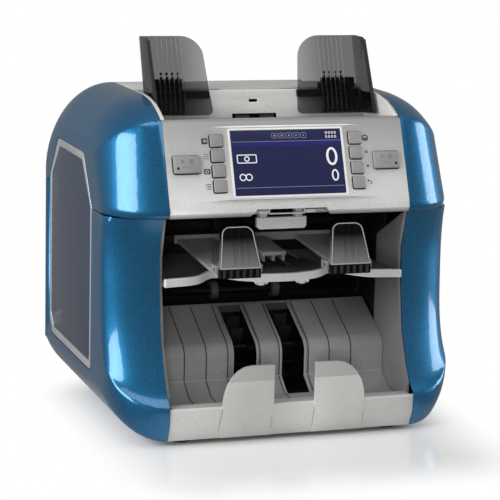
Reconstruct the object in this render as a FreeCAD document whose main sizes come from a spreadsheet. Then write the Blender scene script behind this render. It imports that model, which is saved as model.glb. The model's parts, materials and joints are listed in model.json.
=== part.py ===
import FreeCAD, Part
import math
import os
import re
import Sketcher
from types import SimpleNamespace

from FreeCAD import Placement, Rotation, Vector

# Banknote counting machine with two pockets, in millimetres.
# X runs to the right, the front faces -Y and Z points up.
# The origin is on the floor, in the middle of the whole machine.

SIZES = (
    ("cover_wide", 44.0, "side cover, from the pocket's edge to the outside"),
    ("depth", 276.0, "front plate to rear wall"),
    ("top_rise", 16.5, "top cover above the panel's upper edge"),
    ("skirt", 4.0, "floor to lower edge of the covers"),
    ("wall", 3.0, "wall of the plastic mouldings"),
    ("fit", 0.3, "gap between pieces that do not touch"),
    ("running", 0.05, "radial clearance of a turning shaft"),
    ("corner", 45.0, "rounding of the covers seen from above"),
    ("shoulder", 50.0, "rounding of the covers along the top"),
    ("keel", 40.0, "rounding of the covers along the bottom"),
    ("rear_corner", 20.0, "rounding of the covers at the back"),
    ("pocket_tall", 57.5, "seam between the units above the reject shelf"),
    ("seam", 0.8, "width of that seam"),
    ("crown", 85.0, "rounding of the rear top edge"),
    ("heel", 32.0, "rounding of the rear bottom edge"),
    ("toe_height", 33.0, "height of the crease above the toe"),
    ("toe_sweep", 7.0, "how far the toe tucks in at the bottom"),
    ("scoop", 36.5, "how far the pocket front lies behind the toe"),
    ("brow", 27.0, "how far the lower cover's top edge lies behind the toe"),
    ("lip_reach", 18.5, "how far the control panel's lip lies behind the toe"),
    ("tilt", 22.4, "lean of the control panel, degrees"),
    ("panel_margin", 17.3, "control panel past the middle of a start key"),
    ("panel_low", 34.5, "panel below the display centre"),
    ("panel_high", 35.2, "panel above the display centre"),
    ("panel_reach", 33.0, "display centre behind the front plate"),
    ("panel_lift", 42.1, "display centre above the seam"),
    ("display_wide", 95.0, "display glass"),
    ("display_tall", 53.9, "display glass"),
    ("plateau", 1.8, "raised field around the display"),
    ("plateau_margin", 2.5, "flat of the raised field past the display"),
    ("plateau_slope", 18.15, "foot of the raised field past the function keys"),
    ("plateau_half", 31.0, "half height of the field"),
    ("key_wide", 10.5, "function key"),
    ("key_tall", 10.0, "function key"),
    ("key_pitch", 12.6, "spacing of the function keys"),
    ("key_out", 12.35, "function keys past the display's edge"),
    ("key_lift", 0.3, "function keys above the display centre"),
    ("start_wide", 22.5, "start key"),
    ("start_tall", 14.0, "start key"),
    ("start_out", 26.25, "start keys past the function keys"),
    ("key_gap", 0.45, "gap around a key"),
    ("key_proud", 2.6, "key above the panel"),
    ("key_travel", 1.2, "key stroke"),
    ("key_flange", 1.0, "rim that keeps a key in its hole"),
    ("board_back", 8.0, "circuit board behind the panel face"),
    ("board", 1.6, "circuit board thickness"),
    ("notch_half", 33.0, "half width of the latch notch"),
    ("notch_rise", 6.5, "height of the latch notch"),
    ("handle_half", 21.5, "half width of the latch handle"),
    ("handle_tall", 9.8, "height of the latch handle"),
    ("handle_drop", 4.4, "latch handle below the seam"),
    ("handle_round", 3.0, "rounding of its lower corners"),
    ("handle_thick", 5.0, "latch handle"),
    ("latch_back", 50.0, "latch pivot behind the front plate"),
    ("latch_rise", 8.5, "latch pivot above the seam"),
    ("latch_pin", 2.0, "radius of the latch pivot"),
    ("flange_back", 58.0, "rear edge of the control panel's floor behind the front plate"),
    ("ledge_back", 118.5, "rear end of the hopper ledge behind the front plate"),
    ("ledge_drop", 8.2, "fall of the ledge towards the back"),
    ("hopper_lean", 19.7, "lean of the hopper plate, degrees"),
    ("cheek", 3.4, "hopper cheek"),
    ("feed_half", 20.0, "half width of the feed opening"),
    ("feed_tall", 3.5, "height of the feed opening"),
    ("feed_up", -5.4, "pick-up rollers along the hopper plate from the ledge"),
    ("eye_half", 4.0, "half width of the hopper sensor's window"),
    ("eye_rise", 12.8, "hopper sensor's window above the ledge"),
    ("eye_tall", 2.5, "hopper sensor's window"),
    ("slot_back", 139.0, "front of the top cover behind the front plate"),
    ("guide_room", 2.6, "hopper guide inside the hopper cheek"),
    ("guide_wall", 2.2, "hopper guide thickness"),
    ("guide_wide", 59.6, "width of a hopper guide at its foot"),
    ("guide_taper", 6.4, "how much narrower a guide is at its top"),
    ("guide_lean", 19.7, "lean of the guides, degrees"),
    ("guide_tall", 68.7, "length of the guide along its lean"),
    ("guide_deep", 21.5, "depth of the guide's side wall at its top"),
    ("guide_sole", 31.0, "depth of the guide's side wall at its foot"),
    ("guide_bend", 8.0, "rounding of the side wall's top corner"),
    ("guide_back", 115.1, "foot of the guide's back plate behind the front plate"),
    ("guide_lift", 3.5, "foot of the guide above the ledge"),
    ("guide_round", 20.0, "top inner corner of the guide"),
    ("rod_radius", 3.0, "guide rod"),
    ("rod_back", 145.0, "guide rod behind the front plate"),
    ("rod_drop", 15.0, "guide rod below the top"),
    ("carriage_half", 15.0, "half width of a guide carriage"),
    ("carriage_in", 19.4, "middle of a carriage from the guide's outside"),
    ("rack_module", 0.75, "tooth module of the guide racks"),
    ("rack_teeth", 16.0, "teeth of the guide pinion"),
    ("rack_reach", 10.0, "rack past the pinion's middle"),
    ("rack_back", 16.0, "pinion behind the guide rod"),
    ("rack_tall", 6.0, "height of the guide racks"),
    ("pinion_pin", 1.5, "radius of the pinion's stud"),
    ("pickup_place", 11.0, "pick-up rollers from the middle"),
    ("pickup_wide", 12.0, "pick-up roller width"),
    ("feed_place", 14.0, "feed rollers from the middle"),
    ("feed_wide", 16.0, "feed roller width"),
    ("belt_in", 10.0, "feed belt inside the feed frame"),
    ("feed_motor_radius", 17.0, "feed motor"),
    ("feed_motor_long", 32.0, "feed motor"),
    ("feed_lift", 6.5, "underside of the feed frame above the seam"),
    ("feed_front", 66.0, "front of the feed frame behind the front plate"),
    ("feed_rear", 80.0, "rear of the feed frame in front of the rear wall"),
    ("pickup_radius", 11.0, "pick-up roller"),
    ("pickup_poke", 2.5, "pick-up roller in front of the hopper plate"),
    ("feed_radius", 16.0, "feed roller"),
    ("feed_back", 104.0, "feed shaft behind the front plate"),
    ("feed_drop", 34.14, "feed shaft below the panel's upper edge"),
    ("feed_shaft", 4.0, "radius of the feed and pick-up shafts"),
    ("feed_pulley", 5.0, "radius of the feed belt's pulleys"),
    ("feed_plate", 2.0, "feed frame sheet"),
    ("feed_room", 1.0, "feed frame inside the hopper cheeks"),
    ("belt", 1.0, "belt thickness"),
    ("belt_wide", 6.0, "belt width"),
    ("pocket_out", 2.6, "pocket's edge past the control panel"),
    ("pocket_wall", 2.2, "pocket cheek"),
    ("cheek_end", 88.0, "rear end of the pocket cheeks behind the front plate"),
    ("cheek_fall", 30.0, "fall of their upper edge"),
    ("frame_sheet", 2.0, "side frame sheet"),
    ("frame_front", 78.0, "side frame behind the front plate"),
    ("frame_rear", 32.0, "side frame in front of the rear wall"),
    ("frame_drop", 5.5, "top of the side frames below the seam"),
    ("base_low", 8.0, "underside of the base plate"),
    ("base_thick", 4.0, "base plate"),
    ("foot_radius", 10.0, "rubber foot"),
    ("foot_inset", 16.0, "feet inside the pocket's edge"),
    ("foot_end", 26.0, "front feet behind the front plate"),
    ("foot_rear", 54.0, "rear feet in front of the rear wall"),
    ("tab_inner", 18.0, "inner edge of a front tab"),
    ("tab_top", 37.0, "outer end of a tab's flat top"),
    ("tab_outer", 61.3, "outer end of a tab's foot"),
    ("tab_height", 64.6, "top of the front tabs"),
    ("tab_proud", 0.8, "tab in front of the front plate"),
    ("plate_height", 32.0, "top of the front plate"),
    ("plate_round", 2.0, "rounding of its upper edge"),
    ("rim_deep", 14.0, "rim behind its upper edge, from the front"),
    ("stack_sheet", 2.5, "stacker plate thickness"),
    ("step_back", 64.5, "step of the stacker plate behind the front plate"),
    ("step_top", 65.0, "top of the step"),
    ("step_low", 37.5, "foot of the step"),
    ("step_round", 15.0, "rounding of the step's crest"),
    ("tray_back", 50.0, "bend of the stacker tray behind the front plate"),
    ("tray_rise", 27.0, "bend of the stacker tray above the floor"),
    ("tray_front", 22.5, "front end of the stacker tray above the floor"),
    ("stack_back", 116.0, "upper edge of the stacker plate behind the front plate"),
    ("stack_rise", 91.5, "upper edge of the stacker plate"),
    ("slot_place", 21.5, "stacker slots from the middle"),
    ("slot_wide", 20.5, "stacker slot"),
    ("stack_axis_back", 114.0, "stacker shaft behind the front plate"),
    ("stack_axis_rise", 51.0, "stacker shaft above the floor"),
    ("stack_radius", 34.5, "stacker wheel"),
    ("stack_hub", 17.0, "stacker wheel hub"),
    ("stack_wheel", 11.0, "stacker wheel width"),
    ("stack_fins", 14.0, "fins of a stacker wheel"),
    ("fin", 2.2, "stacker fin thickness"),
    ("shaft", 4.0, "radius of the lower shafts"),
    ("bearing", 8.0, "outer radius of the bearings"),
    ("bearing_wide", 5.0, "bearing width"),
    ("gear_module", 1.0, "tooth module of the exit gears"),
    ("stack_teeth", 67.0, "teeth of the stacker gear"),
    ("exit_teeth", 40.0, "teeth of the exit gear"),
    ("gear_wide", 5.0, "width of the exit gears"),
    ("gear_line", 62.0, "rise of the line between the two gears, degrees"),
    ("exit_radius", 8.0, "exit roller"),
    ("exit_place", 28.0, "exit rollers from the middle"),
    ("exit_wide", 6.0, "exit roller width"),
    ("reject_back", 133.0, "reject shaft behind the front plate"),
    ("reject_lift", 11.5, "reject shaft above the note arms' underside"),
    ("reject_radius", 12.0, "reject wheel"),
    ("reject_place", 30.7, "reject wheels from the middle"),
    ("reject_wide", 8.0, "reject wheel width"),
    ("small_pulley", 8.0, "radius of the exit and reject pulleys"),
    ("stack_pulley", 18.0, "radius of the stacker pulley"),
    ("motor_pulley", 9.0, "radius of the motor pulley"),
    ("pulley_out", 12.0, "belt plane past the pocket's edge"),
    ("motor_radius", 21.0, "main motor"),
    ("motor_long", 55.0, "main motor"),
    ("motor_back", 202.0, "main motor behind the front plate"),
    ("motor_rise", 45.0, "main motor above the floor"),
    ("motor_shaft", 3.0, "radius of the motor shaft"),
    ("shelf_low", 126.0, "underside of the reject shelf"),
    ("shelf_sheet", 3.0, "reject shelf"),
    ("lip_height", 6.5, "shelf lip"),
    ("lip_wide", 5.0, "shelf lip seen from above"),
    ("lip_back", 30.0, "shelf lip behind the front plate"),
    ("bay_deep", 29.5, "bays in the lip below the stoppers"),
    ("shelf_slot", 18.4, "inner edge of the slots in the shelf"),
    ("shelf_slot_neck", 25.0, "outer edge of a slot's front part"),
    ("shelf_slot_wide", 43.0, "outer edge of a slot's rear part"),
    ("shelf_slot_front", 84.0, "slots behind the front plate"),
    ("shelf_slot_back", 110.0, "slot's rear part behind the front plate"),
    ("arm_lift", 20.5, "underside of the note arms above the shelf's"),
    ("arm_thick", 3.0, "note arm"),
    ("arm_fall", 6.0, "fall of a note arm towards the front"),
    ("arm_inner", 37.0, "inner edge of a note arm"),
    ("arm_outer", 69.0, "outer edge of a note arm"),
    ("arm_front", 19.0, "front end of a note arm behind the front plate"),
    ("bar_back", 114.0, "front of the arm bar behind the front plate"),
    ("bar_deep", 6.0, "arm bar"),
    ("comb_half", 10.3, "half width of the middle comb"),
    ("comb_front", 60.0, "front end of the comb behind the front plate"),
    ("stopper_place", 47.5, "stoppers from the middle"),
    ("stopper_half", 17.2, "half width of a stopper at its foot"),
    ("stopper_taper", 3.5, "how much narrower a stopper is at its top"),
    ("stopper_lean", 12.7, "lean of a stopper, from its fold to its top"),
    ("stopper_fold", 1.5, "fold of a stopper above its pivot"),
    ("stopper_foot", 7.8, "foot of a stopper below its fold"),
    ("stopper_pin_back", 14.0, "stopper pivot behind the front plate"),
    ("pin_drop", 3.5, "stopper pivot below the note arms"),
    ("stopper_pin", 1.5, "radius of the stopper pivot"),
    ("stopper_thick", 3.6, "stopper plate"),
    ("stopper_tall", 30.4, "top of the stoppers above the note arms' underside"),
    ("back_wall", 154.0, "transport wall behind the front plate"),
    ("gate_back", 170.0, "diverter gate behind the front plate"),
    ("gate_lift", 3.5, "diverter gate above the note arms' underside"),
    ("gate_shaft", 3.0, "radius of the diverter shaft"),
    ("gate_long", 22.0, "diverter blade"),
    ("trim_front", 90.0, "front edge of the side panel behind the front plate"),
    ("trim_rear", 37.0, "rear edge of the side panel in front of the rear wall"),
    ("trim_low", 45.5, "lower edge of the side panel"),
    ("trim_up", 41.5, "upper edge of the side panel above the seam"),
    ("trim_slant", 30.0, "length of the slanted corners"),
    ("trim_round", 8.0, "rounding of the side panel's corners"),
    ("trim_band", 6.5, "silver band above and below"),
    ("trim_side", 4.0, "silver band at the sides"),
    ("trim_flange", 2.0, "flange that carries the side panel"),
    ("flange_over", 3.0, "flange behind the lower cover"),
    ("panel_sunk", 0.8, "side panel behind its trim"),
    ("hinge_radius", 4.0, "knuckle of the rear hinge"),
    ("hinge_pin", 1.6, "radius of the hinge pin"),
    ("hinge_place", 75.0, "hinges from the middle"),
    ("hinge_half", 15.0, "half width of a hinge"),
    ("knuckle_half", 5.6, "half width of the upper knuckle"),
    ("socket_rise", 50.0, "sockets above the floor"),
    ("inlet_place", 72.0, "mains inlet from the middle"),
    ("inlet_wide", 27.4, "mains inlet"),
    ("inlet_tall", 20.0, "mains inlet"),
    ("inlet_deep", 20.0, "mains inlet"),
    ("switch_place", 44.0, "power switch from the middle"),
    ("switch_wide", 10.0, "power switch rocker"),
    ("switch_tall", 15.0, "power switch rocker"),
    ("switch_pin", 1.2, "radius of the rocker's pivot"),
    ("port_place", 66.0, "middle data socket from the middle"),
    ("port_pitch", 18.0, "spacing of the data sockets"),
    ("port_wide", 13.0, "data socket"),
    ("port_tall", 11.0, "data socket"),
    ("vent_wide", 4.0, "vent slot"),
    ("vent_tall", 40.0, "vent slot"),
    ("vent_pitch", 10.0, "spacing of the vent slots"),
    ("vent_rise", 130.0, "middle of the vents above the floor"),
    ("board_in", 16.0, "main board's edge inside the pocket's edge"),
    ("board_low", 62.0, "lower edge of the main board"),
    ("board_drop", 15.5, "upper edge of the main board below the seam"),
    ("board_stand", 14.0, "main board in front of the rear cover"),
    ("chip_wide", 14.0, "chip"),
    ("chip_tall", 3.0, "chip"),
    ("chip_pitch", 32.0, "spacing of the chips"),
    ("screw_in", 10.0, "cover screws inside the pocket's edge"),
    ("screw_low", 46.0, "lower cover screws above the floor"),
    ("screw_drop", 18.5, "upper cover screws below the seam"),
    ("screw_radius", 3.0, "screw head"),
    ("screw_tall", 1.6, "screw head"),
    ("toe_back", 0.5, "toe of the covers behind the front plate"),
    ("lip_tall", 4.5, "bend of the control panel's lip above the seam"),
    ("forehead", 3.8, "run of the forehead's curve over its rise"),
    ("way", 1.0, "room round a shaft that passes through a wall"),
    ("shaft_end", 2.0, "shaft past its last wheel"),
    ("pulley_rim", 1.0, "pulley wider than its belt"),
    ("rib", 2.0, "rib of the comb"),
    ("switch_proud", 1.5, "rocker behind the rear cover"),
    ("prong", 2.0, "prong of the mains inlet"),
    ("prong_pitch", 7.0, "spacing of the inlet's prongs"),
    ("rest_up", 25.8, "carriage's rest along the guide"),
)

# Places that follow from the sizes: widths from the display outwards, heights from the shelf upwards.
DERIVED = {
    "key_place": "display_wide / 2 + key_out",
    "start_place": "key_place + start_out",
    "panel_half": "start_place + panel_margin",
    "pocket_half": "panel_half + pocket_out",
    "body_half": "pocket_half + cover_wide",
    "plateau_top": "display_wide / 2 + plateau_margin",
    "plateau_foot": "key_place + plateau_slope",
    "guide_half": "panel_half - cheek - guide_room",
    "guide_inner": "guide_half - guide_wide",
    "carriage_place": "guide_half - carriage_in",
    "feed_frame_half": "panel_half - cheek - feed_room",
    "feed_belt_place": "feed_frame_half - belt_in",
    "pulley_place": "pocket_half + pulley_out",
    "foot_in": "pocket_half - foot_inset",
    "board_half": "pocket_half - board_in",
    "screw_place": "pocket_half - screw_in",
    "split": "shelf_low + pocket_tall",
    "arm_low": "shelf_low + arm_lift",
    "stopper_pin_rise": "arm_low - pin_drop",
    "stopper_top": "arm_low + stopper_tall",
    "stopper_bend": "stopper_pin_rise + stopper_fold",
    "arm_nose": "arm_low - arm_fall",
    "comb_low": "arm_low - arm_fall * (bar_back - comb_front) / (bar_back - arm_front)",
    "reject_rise": "arm_low + reject_lift",
    "gate_rise": "arm_low + gate_lift",
    "frame_top": "split - frame_drop",
    "board_top": "split - board_drop",
    "screw_high": "split - screw_drop",
    "trim_top": "split + trim_up",
    "feed_low": "split + feed_lift",
    "panel_rise": "split + panel_lift",
    "panel_head": "panel_rise + panel_high * cos(tilt)",
    "feed_rise": "panel_head - feed_drop",
    "guide_foot": "panel_head + wall / 2 - ledge_drop + guide_lift",
    "height": "panel_head + top_rise",
    "rod_rise": "height - rod_drop",
}

doc = FreeCAD.newDocument("banknote_counter")
sheet = doc.addObject("Spreadsheet::Sheet", "Sizes")
for row, (alias, value, note) in enumerate(SIZES, start=1):
    sheet.set(f"A{row}", note)
    sheet.set(f"B{row}", str(value))
    sheet.setAlias(f"B{row}", alias)
doc.recompute()

S = SimpleNamespace(**{alias: float(sheet.get(alias)) for alias, value, note in SIZES})
S.front = -(S.depth + S.hinge_radius) / 2
S.rear = S.front + S.depth

# The same two planes as words for the expressions below.
FRONT = "(-(depth + hinge_radius) / 2)"
REAR = "((depth - hinge_radius) / 2)"
FUNCTIONS = ("sin", "cos", "tan", "sqrt")
SIDES = (("left", -1), ("right", 1))
NODES = {}
SAME = 1e-4


def bound(text):
    """An expression in which every word is a cell of the sheet, or follows from cells."""
    def cell(match):
        word = match.group()
        if word in DERIVED:
            return f"({bound(DERIVED[word])})"
        return word if word in FUNCTIONS else "Sizes." + word
    return re.sub(r"[a-z][a-z_]*", cell, str(text))


def node(name, item):
    """Names a finished sub-part."""
    item.Label = name
    NODES[name] = item
    return item


def box(name, x, y, z):
    """A block between pairs of expressions."""
    item = doc.addObject("Part::Box", name)
    for size, axis, (low, high) in zip(("Length", "Width", "Height"), "xyz", (x, y, z)):
        item.setExpression(size, bound(f"({high}) - ({low})"))
        item.setExpression(f"Placement.Base.{axis}", bound(low))
    return item


TURNS = {
    "x": Rotation(Vector(0, 1, 0), 90),
    "y": Rotation(Vector(1, 0, 0), -90),
    "z": Rotation(),
}


def rod(name, radius, x, y, z):
    """A cylinder along the one axis that is given as a pair of expressions."""
    item = doc.addObject("Part::Cylinder", name)
    item.setExpression("Radius", bound(radius))
    for axis, place in zip("xyz", (x, y, z)):
        if isinstance(place, tuple):
            item.Placement = Placement(Vector(), TURNS[axis])
            item.setExpression("Height", bound(f"({place[1]}) - ({place[0]})"))
    for axis, place in zip("xyz", (x, y, z)):
        low = place[0] if isinstance(place, tuple) else place
        item.setExpression(f"Placement.Base.{axis}", bound(low))
    return item


def fuse(name, *items):
    item = doc.addObject("Part::MultiFuse", name)
    item.Shapes = list(items)
    return item


def group(name, *items):
    """Separate solids that share one node."""
    item = doc.addObject("Part::Compound", name)
    item.Links = list(items)
    return item


def cut(name, base, *tools):
    item = doc.addObject("Part::Cut", name)
    item.Base = base
    item.Tool = tools[0] if len(tools) == 1 else fuse(name + "_tools", *tools)
    return item


def feature(name, shape):
    """A sub-part whose form only Part's own functions give."""
    item = doc.addObject("Part::Feature", name)
    where = shape.Placement
    item.Shape = shape
    item.Placement = where
    return item


PLANES = {"x": "YZ_Plane", "y": "XZ_Plane", "z": "XY_Plane"}


def prism(name, axis, outline, low, high, rounds=()):
    """A body padded along an axis from an outline whose corners are expressions.

    rounds pairs some of the corners, by number, with the size that rounds them."""
    body = doc.addObject("PartDesign::Body", name)
    sketch = body.newObject("Sketcher::SketchObject", name + "_outline")
    plane = next(item for item in body.Origin.OriginFeatures if item.Role == PLANES[axis])
    sketch.AttachmentSupport = (plane, [""])
    sketch.MapMode = "FlatFace"
    sketch.setExpression("AttachmentOffset.Base.z", bound(f"-({high})" if axis == "y" else low))
    places = [(measure(across), measure(up)) for across, up in outline]
    draw(sketch, outline, places)
    pad = body.newObject("PartDesign::Pad", name + "_pad")
    pad.Profile = sketch
    pad.setExpression("Length", bound(f"({high}) - ({low})"))
    for corners, radius in rounds:
        doc.recompute()
        base = body.Tip
        edges = [upright(base.Shape, axis, places[corner]) for corner in corners]
        fillet = body.newObject("PartDesign::Fillet", name + "_round")
        fillet.Base = (base, edges)
        fillet.setExpression("Radius", bound(radius))
    return body


def draw(sketch, outline, places):
    """A closed outline, each corner held by its distances from the sketch's origin."""
    count = len(places)
    for index, (across, up) in enumerate(places):
        after = places[(index + 1) % count]
        sketch.addGeometry(Part.LineSegment(Vector(across, up, 0), Vector(*after, 0)), False)
    for index in range(count):
        sketch.addConstraint(Sketcher.Constraint("Coincident", index, 2, (index + 1) % count, 1))
    for index, (words, place) in enumerate(zip(outline, places)):
        for kind, text, value in zip(("DistanceX", "DistanceY"), words, place):
            sketch.addConstraint(Sketcher.Constraint(kind, -1, 1, index, 1, value))
            sketch.setExpression(f"Constraints[{sketch.ConstraintCount - 1}]", bound(text))


def upright(shape, axis, place):
    """The name of the edge along the axis at a corner of the outline."""
    skip = "xyz".index(axis)
    for number, edge in enumerate(shape.Edges, start=1):
        ends = [[end.Point[i] for i in range(3) if i != skip] for end in edge.Vertexes]
        if len(ends) == 2 and all(math.dist(end, place) < SAME for end in ends):
            return f"Edge{number}"
    raise ValueError(f"no edge along {axis} at {place}")


def measure(text):
    """The value that an expression has now."""
    return float(sheet.evalExpression(bound(text).replace("Sizes.", "")))


for word in DERIVED:
    setattr(S, word, measure(word))


def panel_box(name, across, along, out):
    """A block in the tilted plane of the control panel, from the display's centre."""
    item = doc.addObject("Part::Box", name)
    item.Placement = Placement(Vector(), Rotation(Vector(1, 0, 0), 90 - S.tilt))
    for size, (low, high) in zip(("Length", "Width", "Height"), (across, along, out)):
        item.setExpression(size, bound(f"({high}) - ({low})"))
    item.setExpression("Placement.Base.x", bound(across[0]))
    item.setExpression("Placement.Base.y", bound(panel_y(along[0], out[0])))
    item.setExpression("Placement.Base.z", bound(panel_z(along[0], out[0])))
    return item


def panel_y(along, out):
    return f"{FRONT} + panel_reach + ({along}) * sin(tilt) - ({out}) * cos(tilt)"


def panel_z(along, out):
    return f"panel_rise + ({along}) * cos(tilt) + ({out}) * sin(tilt)"


def rounded(points, radius):
    """A closed flat wire through points, with every corner rounded."""
    count = len(points)
    ends = []
    for index, corner in enumerate(points):
        before = (points[index - 1] - corner).normalize()
        after = (points[(index + 1) % count] - corner).normalize()
        half = before.getAngle(after) / 2
        reach = radius / math.tan(half)
        middle = (before + after).normalize() * (radius / math.sin(half) - radius)
        ends.append((corner + before * reach, corner + middle, corner + after * reach))
    edges = []
    for index, (enter, middle, leave) in enumerate(ends):
        edges.append(Part.Arc(enter, middle, leave).toShape())
        edges.append(Part.makeLine(leave, ends[(index + 1) % count][0]))
    return Part.Wire(edges)


def slab(wire, low, high):
    """A wire drawn at X = 0, filled and drawn out between two places on X."""
    face = Part.Face(wire)
    face.translate(Vector(low, 0, 0))
    return face.extrude(Vector(high - low, 0, 0))


# Side covers. Each is a loft through outlines that turn round the machine's corner.
# A point of an outline has its place, how far it has moved in at the flat side,
# and which way the inside of the wall lies.
TURNS_OF_CORNER = [math.radians(angle) for angle in (0, 15, 30, 45, 60, 75, 90)]
OPEN = 2 * S.wall
QUARTER = [math.radians(angle) for angle in (0, 22.5, 45, 67.5, 90)]

# Shares of the scoop's depth, of its height, and of the rise of the toe at the flat side.
SCOOP = ((0.21, 0.043, 0.95), (0.45, 0.14, 0.65), (0.78, 0.32, 0.25), (0.97, 0.60, 0.0), (1.0, 0.78, 0.0))
# Share of the scoop's depth that is gone at the flat side.
SCOOP_EASE = 0.65

# Shares of the forehead's run and rise, then of the corner and the shoulder at the flat side.
FOREHEAD = (
    (0.07, 0.155, 0.8, 0.74), (0.23, 0.44, 0.67, 0.82), (0.45, 0.735, 0.44, 0.92), (0.78, 0.945, 0.22, 0.98))


def lower_outline(lift):
    """Outline of a lower cover; lift moves its open top edge."""
    toe = S.front + S.toe_back
    top = S.split - S.seam / 2 + lift
    corner = S.corner
    heel_y = S.rear - S.heel
    heel_z = S.skirt + S.heel
    rise = S.toe_height - S.skirt
    high = S.split - S.toe_height
    bottom_front = (toe + S.toe_sweep, S.skirt, corner + 2 * S.toe_sweep, S.keel, 0.6, 1)
    crease = (toe, S.toe_height, corner, rise, 1, 0.3)
    brow = S.brow + S.toe_back
    top_front = (toe + brow, top, corner - SCOOP_EASE * brow, 0, 1, 0)
    top_rear = (S.rear, top, -S.rear_corner, 0, -1, 0)
    heel_points = [
        (heel_y + S.heel * math.cos(a), heel_z - S.heel * math.sin(a),
         -S.rear_corner * math.cos(a), S.keel * math.sin(a), -math.cos(a), math.sin(a))
        for a in QUARTER
    ]
    toe_middle = (
        toe + S.toe_sweep / 7, (S.skirt + S.toe_height) / 2, corner + S.toe_sweep / 2, 0.8 * S.keel, 1, 0.6)
    scoop_points = [
        (toe + along * S.scoop, S.toe_height + up * high, corner - SCOOP_EASE * along * S.scoop, sink * rise,
         1, 0.3 * sink)
        for along, up, sink in SCOOP
    ]
    return [
        [heel_points[-1], bottom_front],
        [bottom_front, toe_middle, crease],
        [crease, *scoop_points, top_front],
        [top_front, top_rear],
        [top_rear, heel_points[0]],
        heel_points,
    ]


def upper_outline(lift):
    """Outline of an upper cover; lift moves its open bottom edge."""
    low = S.split + S.seam / 2 + lift
    corner = S.corner
    lean = math.radians(S.tilt)
    display_y = S.front + S.panel_reach
    foot = (display_y - S.panel_low * math.sin(lean), S.panel_rise - S.panel_low * math.cos(lean))
    head = (display_y + S.panel_high * math.sin(lean), S.panel_rise + S.panel_high * math.cos(lean))
    rise = S.height - head[1]
    run = S.forehead * rise
    crown_y = S.rear - S.crown
    crown_z = S.height - S.crown
    low_front = (S.front + S.lip_reach + S.wall, low, corner, 0, 1, 0)
    low_rear = (S.rear, low, -S.rear_corner, 0, -1, 0)
    lip = (foot[0], foot[1], corner, 0, 1, 0)
    brow = (head[0], head[1], 0.89 * corner, -0.7 * S.shoulder, 0.9, -0.4)
    forehead = [
        (head[0] + run * across, head[1] + rise * up, corner * ease, -S.shoulder * fall, ease, -fall)
        for across, up, ease, fall in FOREHEAD
    ]
    top_front = (head[0] + run, S.height, 0, -S.shoulder, 0, -1)
    crown = [
        (crown_y + S.crown * math.sin(a), crown_z + S.crown * math.cos(a),
         -S.rear_corner * math.sin(a), -S.shoulder * math.cos(a), -math.sin(a), -math.cos(a))
        for a in TURNS_OF_CORNER
    ]
    return [
        [low_rear, low_front],
        [low_front, (S.front + S.lip_reach, S.split + S.lip_tall, corner, 0, 1, 0), lip],
        [lip, brow],
        [brow, *forehead, top_front],
        [top_front, crown[0]],
        crown,
        [crown[-1], low_rear],
    ]


def section(outline, turn, inside):
    """A cover's outline at one turn round the corner, some way inside its skin."""
    across = S.body_half - S.corner + (S.corner - inside) * math.sin(turn)
    bend = 1 - math.cos(turn)
    edges = []
    for line in outline:
        points = [
            Vector(across,
                   y + inside * in_y + (move_y - inside * in_y) * bend,
                   z + inside * in_z + (move_z - inside * in_z) * bend)
            for y, z, move_y, move_z, in_y, in_z in line
        ]
        if len(points) == 2:
            edges.append(Part.makeLine(*points))
        else:
            curve = Part.BSplineCurve()
            curve.interpolate(points)
            edges.append(curve.toShape())
    return Part.Wire(edges)


def rounded_side(outline, inside, reach):
    """The solid between the flat side and a plane nearer the middle."""
    wires = [section(outline, turn, inside) for turn in TURNS_OF_CORNER]
    body = Part.makeLoft(wires, True, False)
    return body.fuse(Part.Face(wires[0]).extrude(Vector(-reach, 0, 0))).removeSplitter()


def trim_wire(band, side, grow=0.0):
    """Outline of the side panel, drawn in by its bands or grown by a gap."""
    front = S.front + S.trim_front + side - grow
    rear = S.rear - S.trim_rear - side + grow
    low = S.trim_low + band - grow
    top = S.trim_top - band + grow
    slant = S.trim_slant
    knee = S.split + slant / 5
    points = [
        (front, low), (front, S.split), (front + slant, top),
        (rear - slant, top), (rear, knee), (rear, low + slant / 3), (rear - slant / 3, low),
    ]
    return rounded([Vector(0, y, z) for y, z in points], min(S.trim_round, slant / 5))


def side_cover(outline, inner_edge, lift, opening_gap):
    """A right-hand cover with a thin wall, open towards the machine's middle."""
    run_in = max(S.wall, S.body_half - S.corner - inner_edge + S.wall)
    outside = rounded_side(outline(0), 0, run_in)
    inside = rounded_side(outline(lift), S.wall, 2 * run_in)
    shell = outside.cut(inside)
    opening = slab(trim_wire(0, 0, opening_gap), S.body_half - S.corner / 2, S.body_half + S.wall)
    middle = Part.makeBox(2 * inner_edge, 2 * S.depth, 3 * S.height, Vector(-inner_edge, -S.depth, -S.height))
    return shell.cut(opening).cut(middle)


def mirrored(shape):
    return shape.mirror(Vector(), Vector(1, 0, 0))


def both_sides(name, shape):
    """The right-hand piece and its mirror image on the left."""
    node("right_" + name, feature("right_" + name, shape))
    node("left_" + name, feature("left_" + name, mirrored(shape)))


both_sides("lower_cover", side_cover(lower_outline, S.pocket_half, OPEN, 2 * S.fit))
both_sides("upper_cover", side_cover(upper_outline, S.panel_half + S.fit, -OPEN, S.seam))


def pair(name, shape):
    """A right-hand solid and its mirror image in one node."""
    return node(name, feature(name, Part.Compound([shape, mirrored(shape)])))


# Side panels: a silver ring around a sunk panel, on a flange behind the lower cover.
ring_back = S.body_half - S.wall - S.fit
panel_field = trim_wire(S.trim_band, S.trim_side)
ring_outside = slab(trim_wire(0, 0), ring_back, S.body_half)
pair("side_trims", ring_outside.cut(slab(panel_field, ring_back - S.wall, S.body_half + S.wall)))
flange = slab(trim_wire(0, 0, S.flange_over), ring_back - S.trim_flange, ring_back)
above = Part.makeBox(S.body_half, 2 * S.depth, S.height, Vector(0, -S.depth, S.split - S.seam))
panel_plate = slab(panel_field, ring_back, S.body_half - S.panel_sunk)
pair("side_panels", flange.cut(above).fuse(panel_plate))

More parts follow.
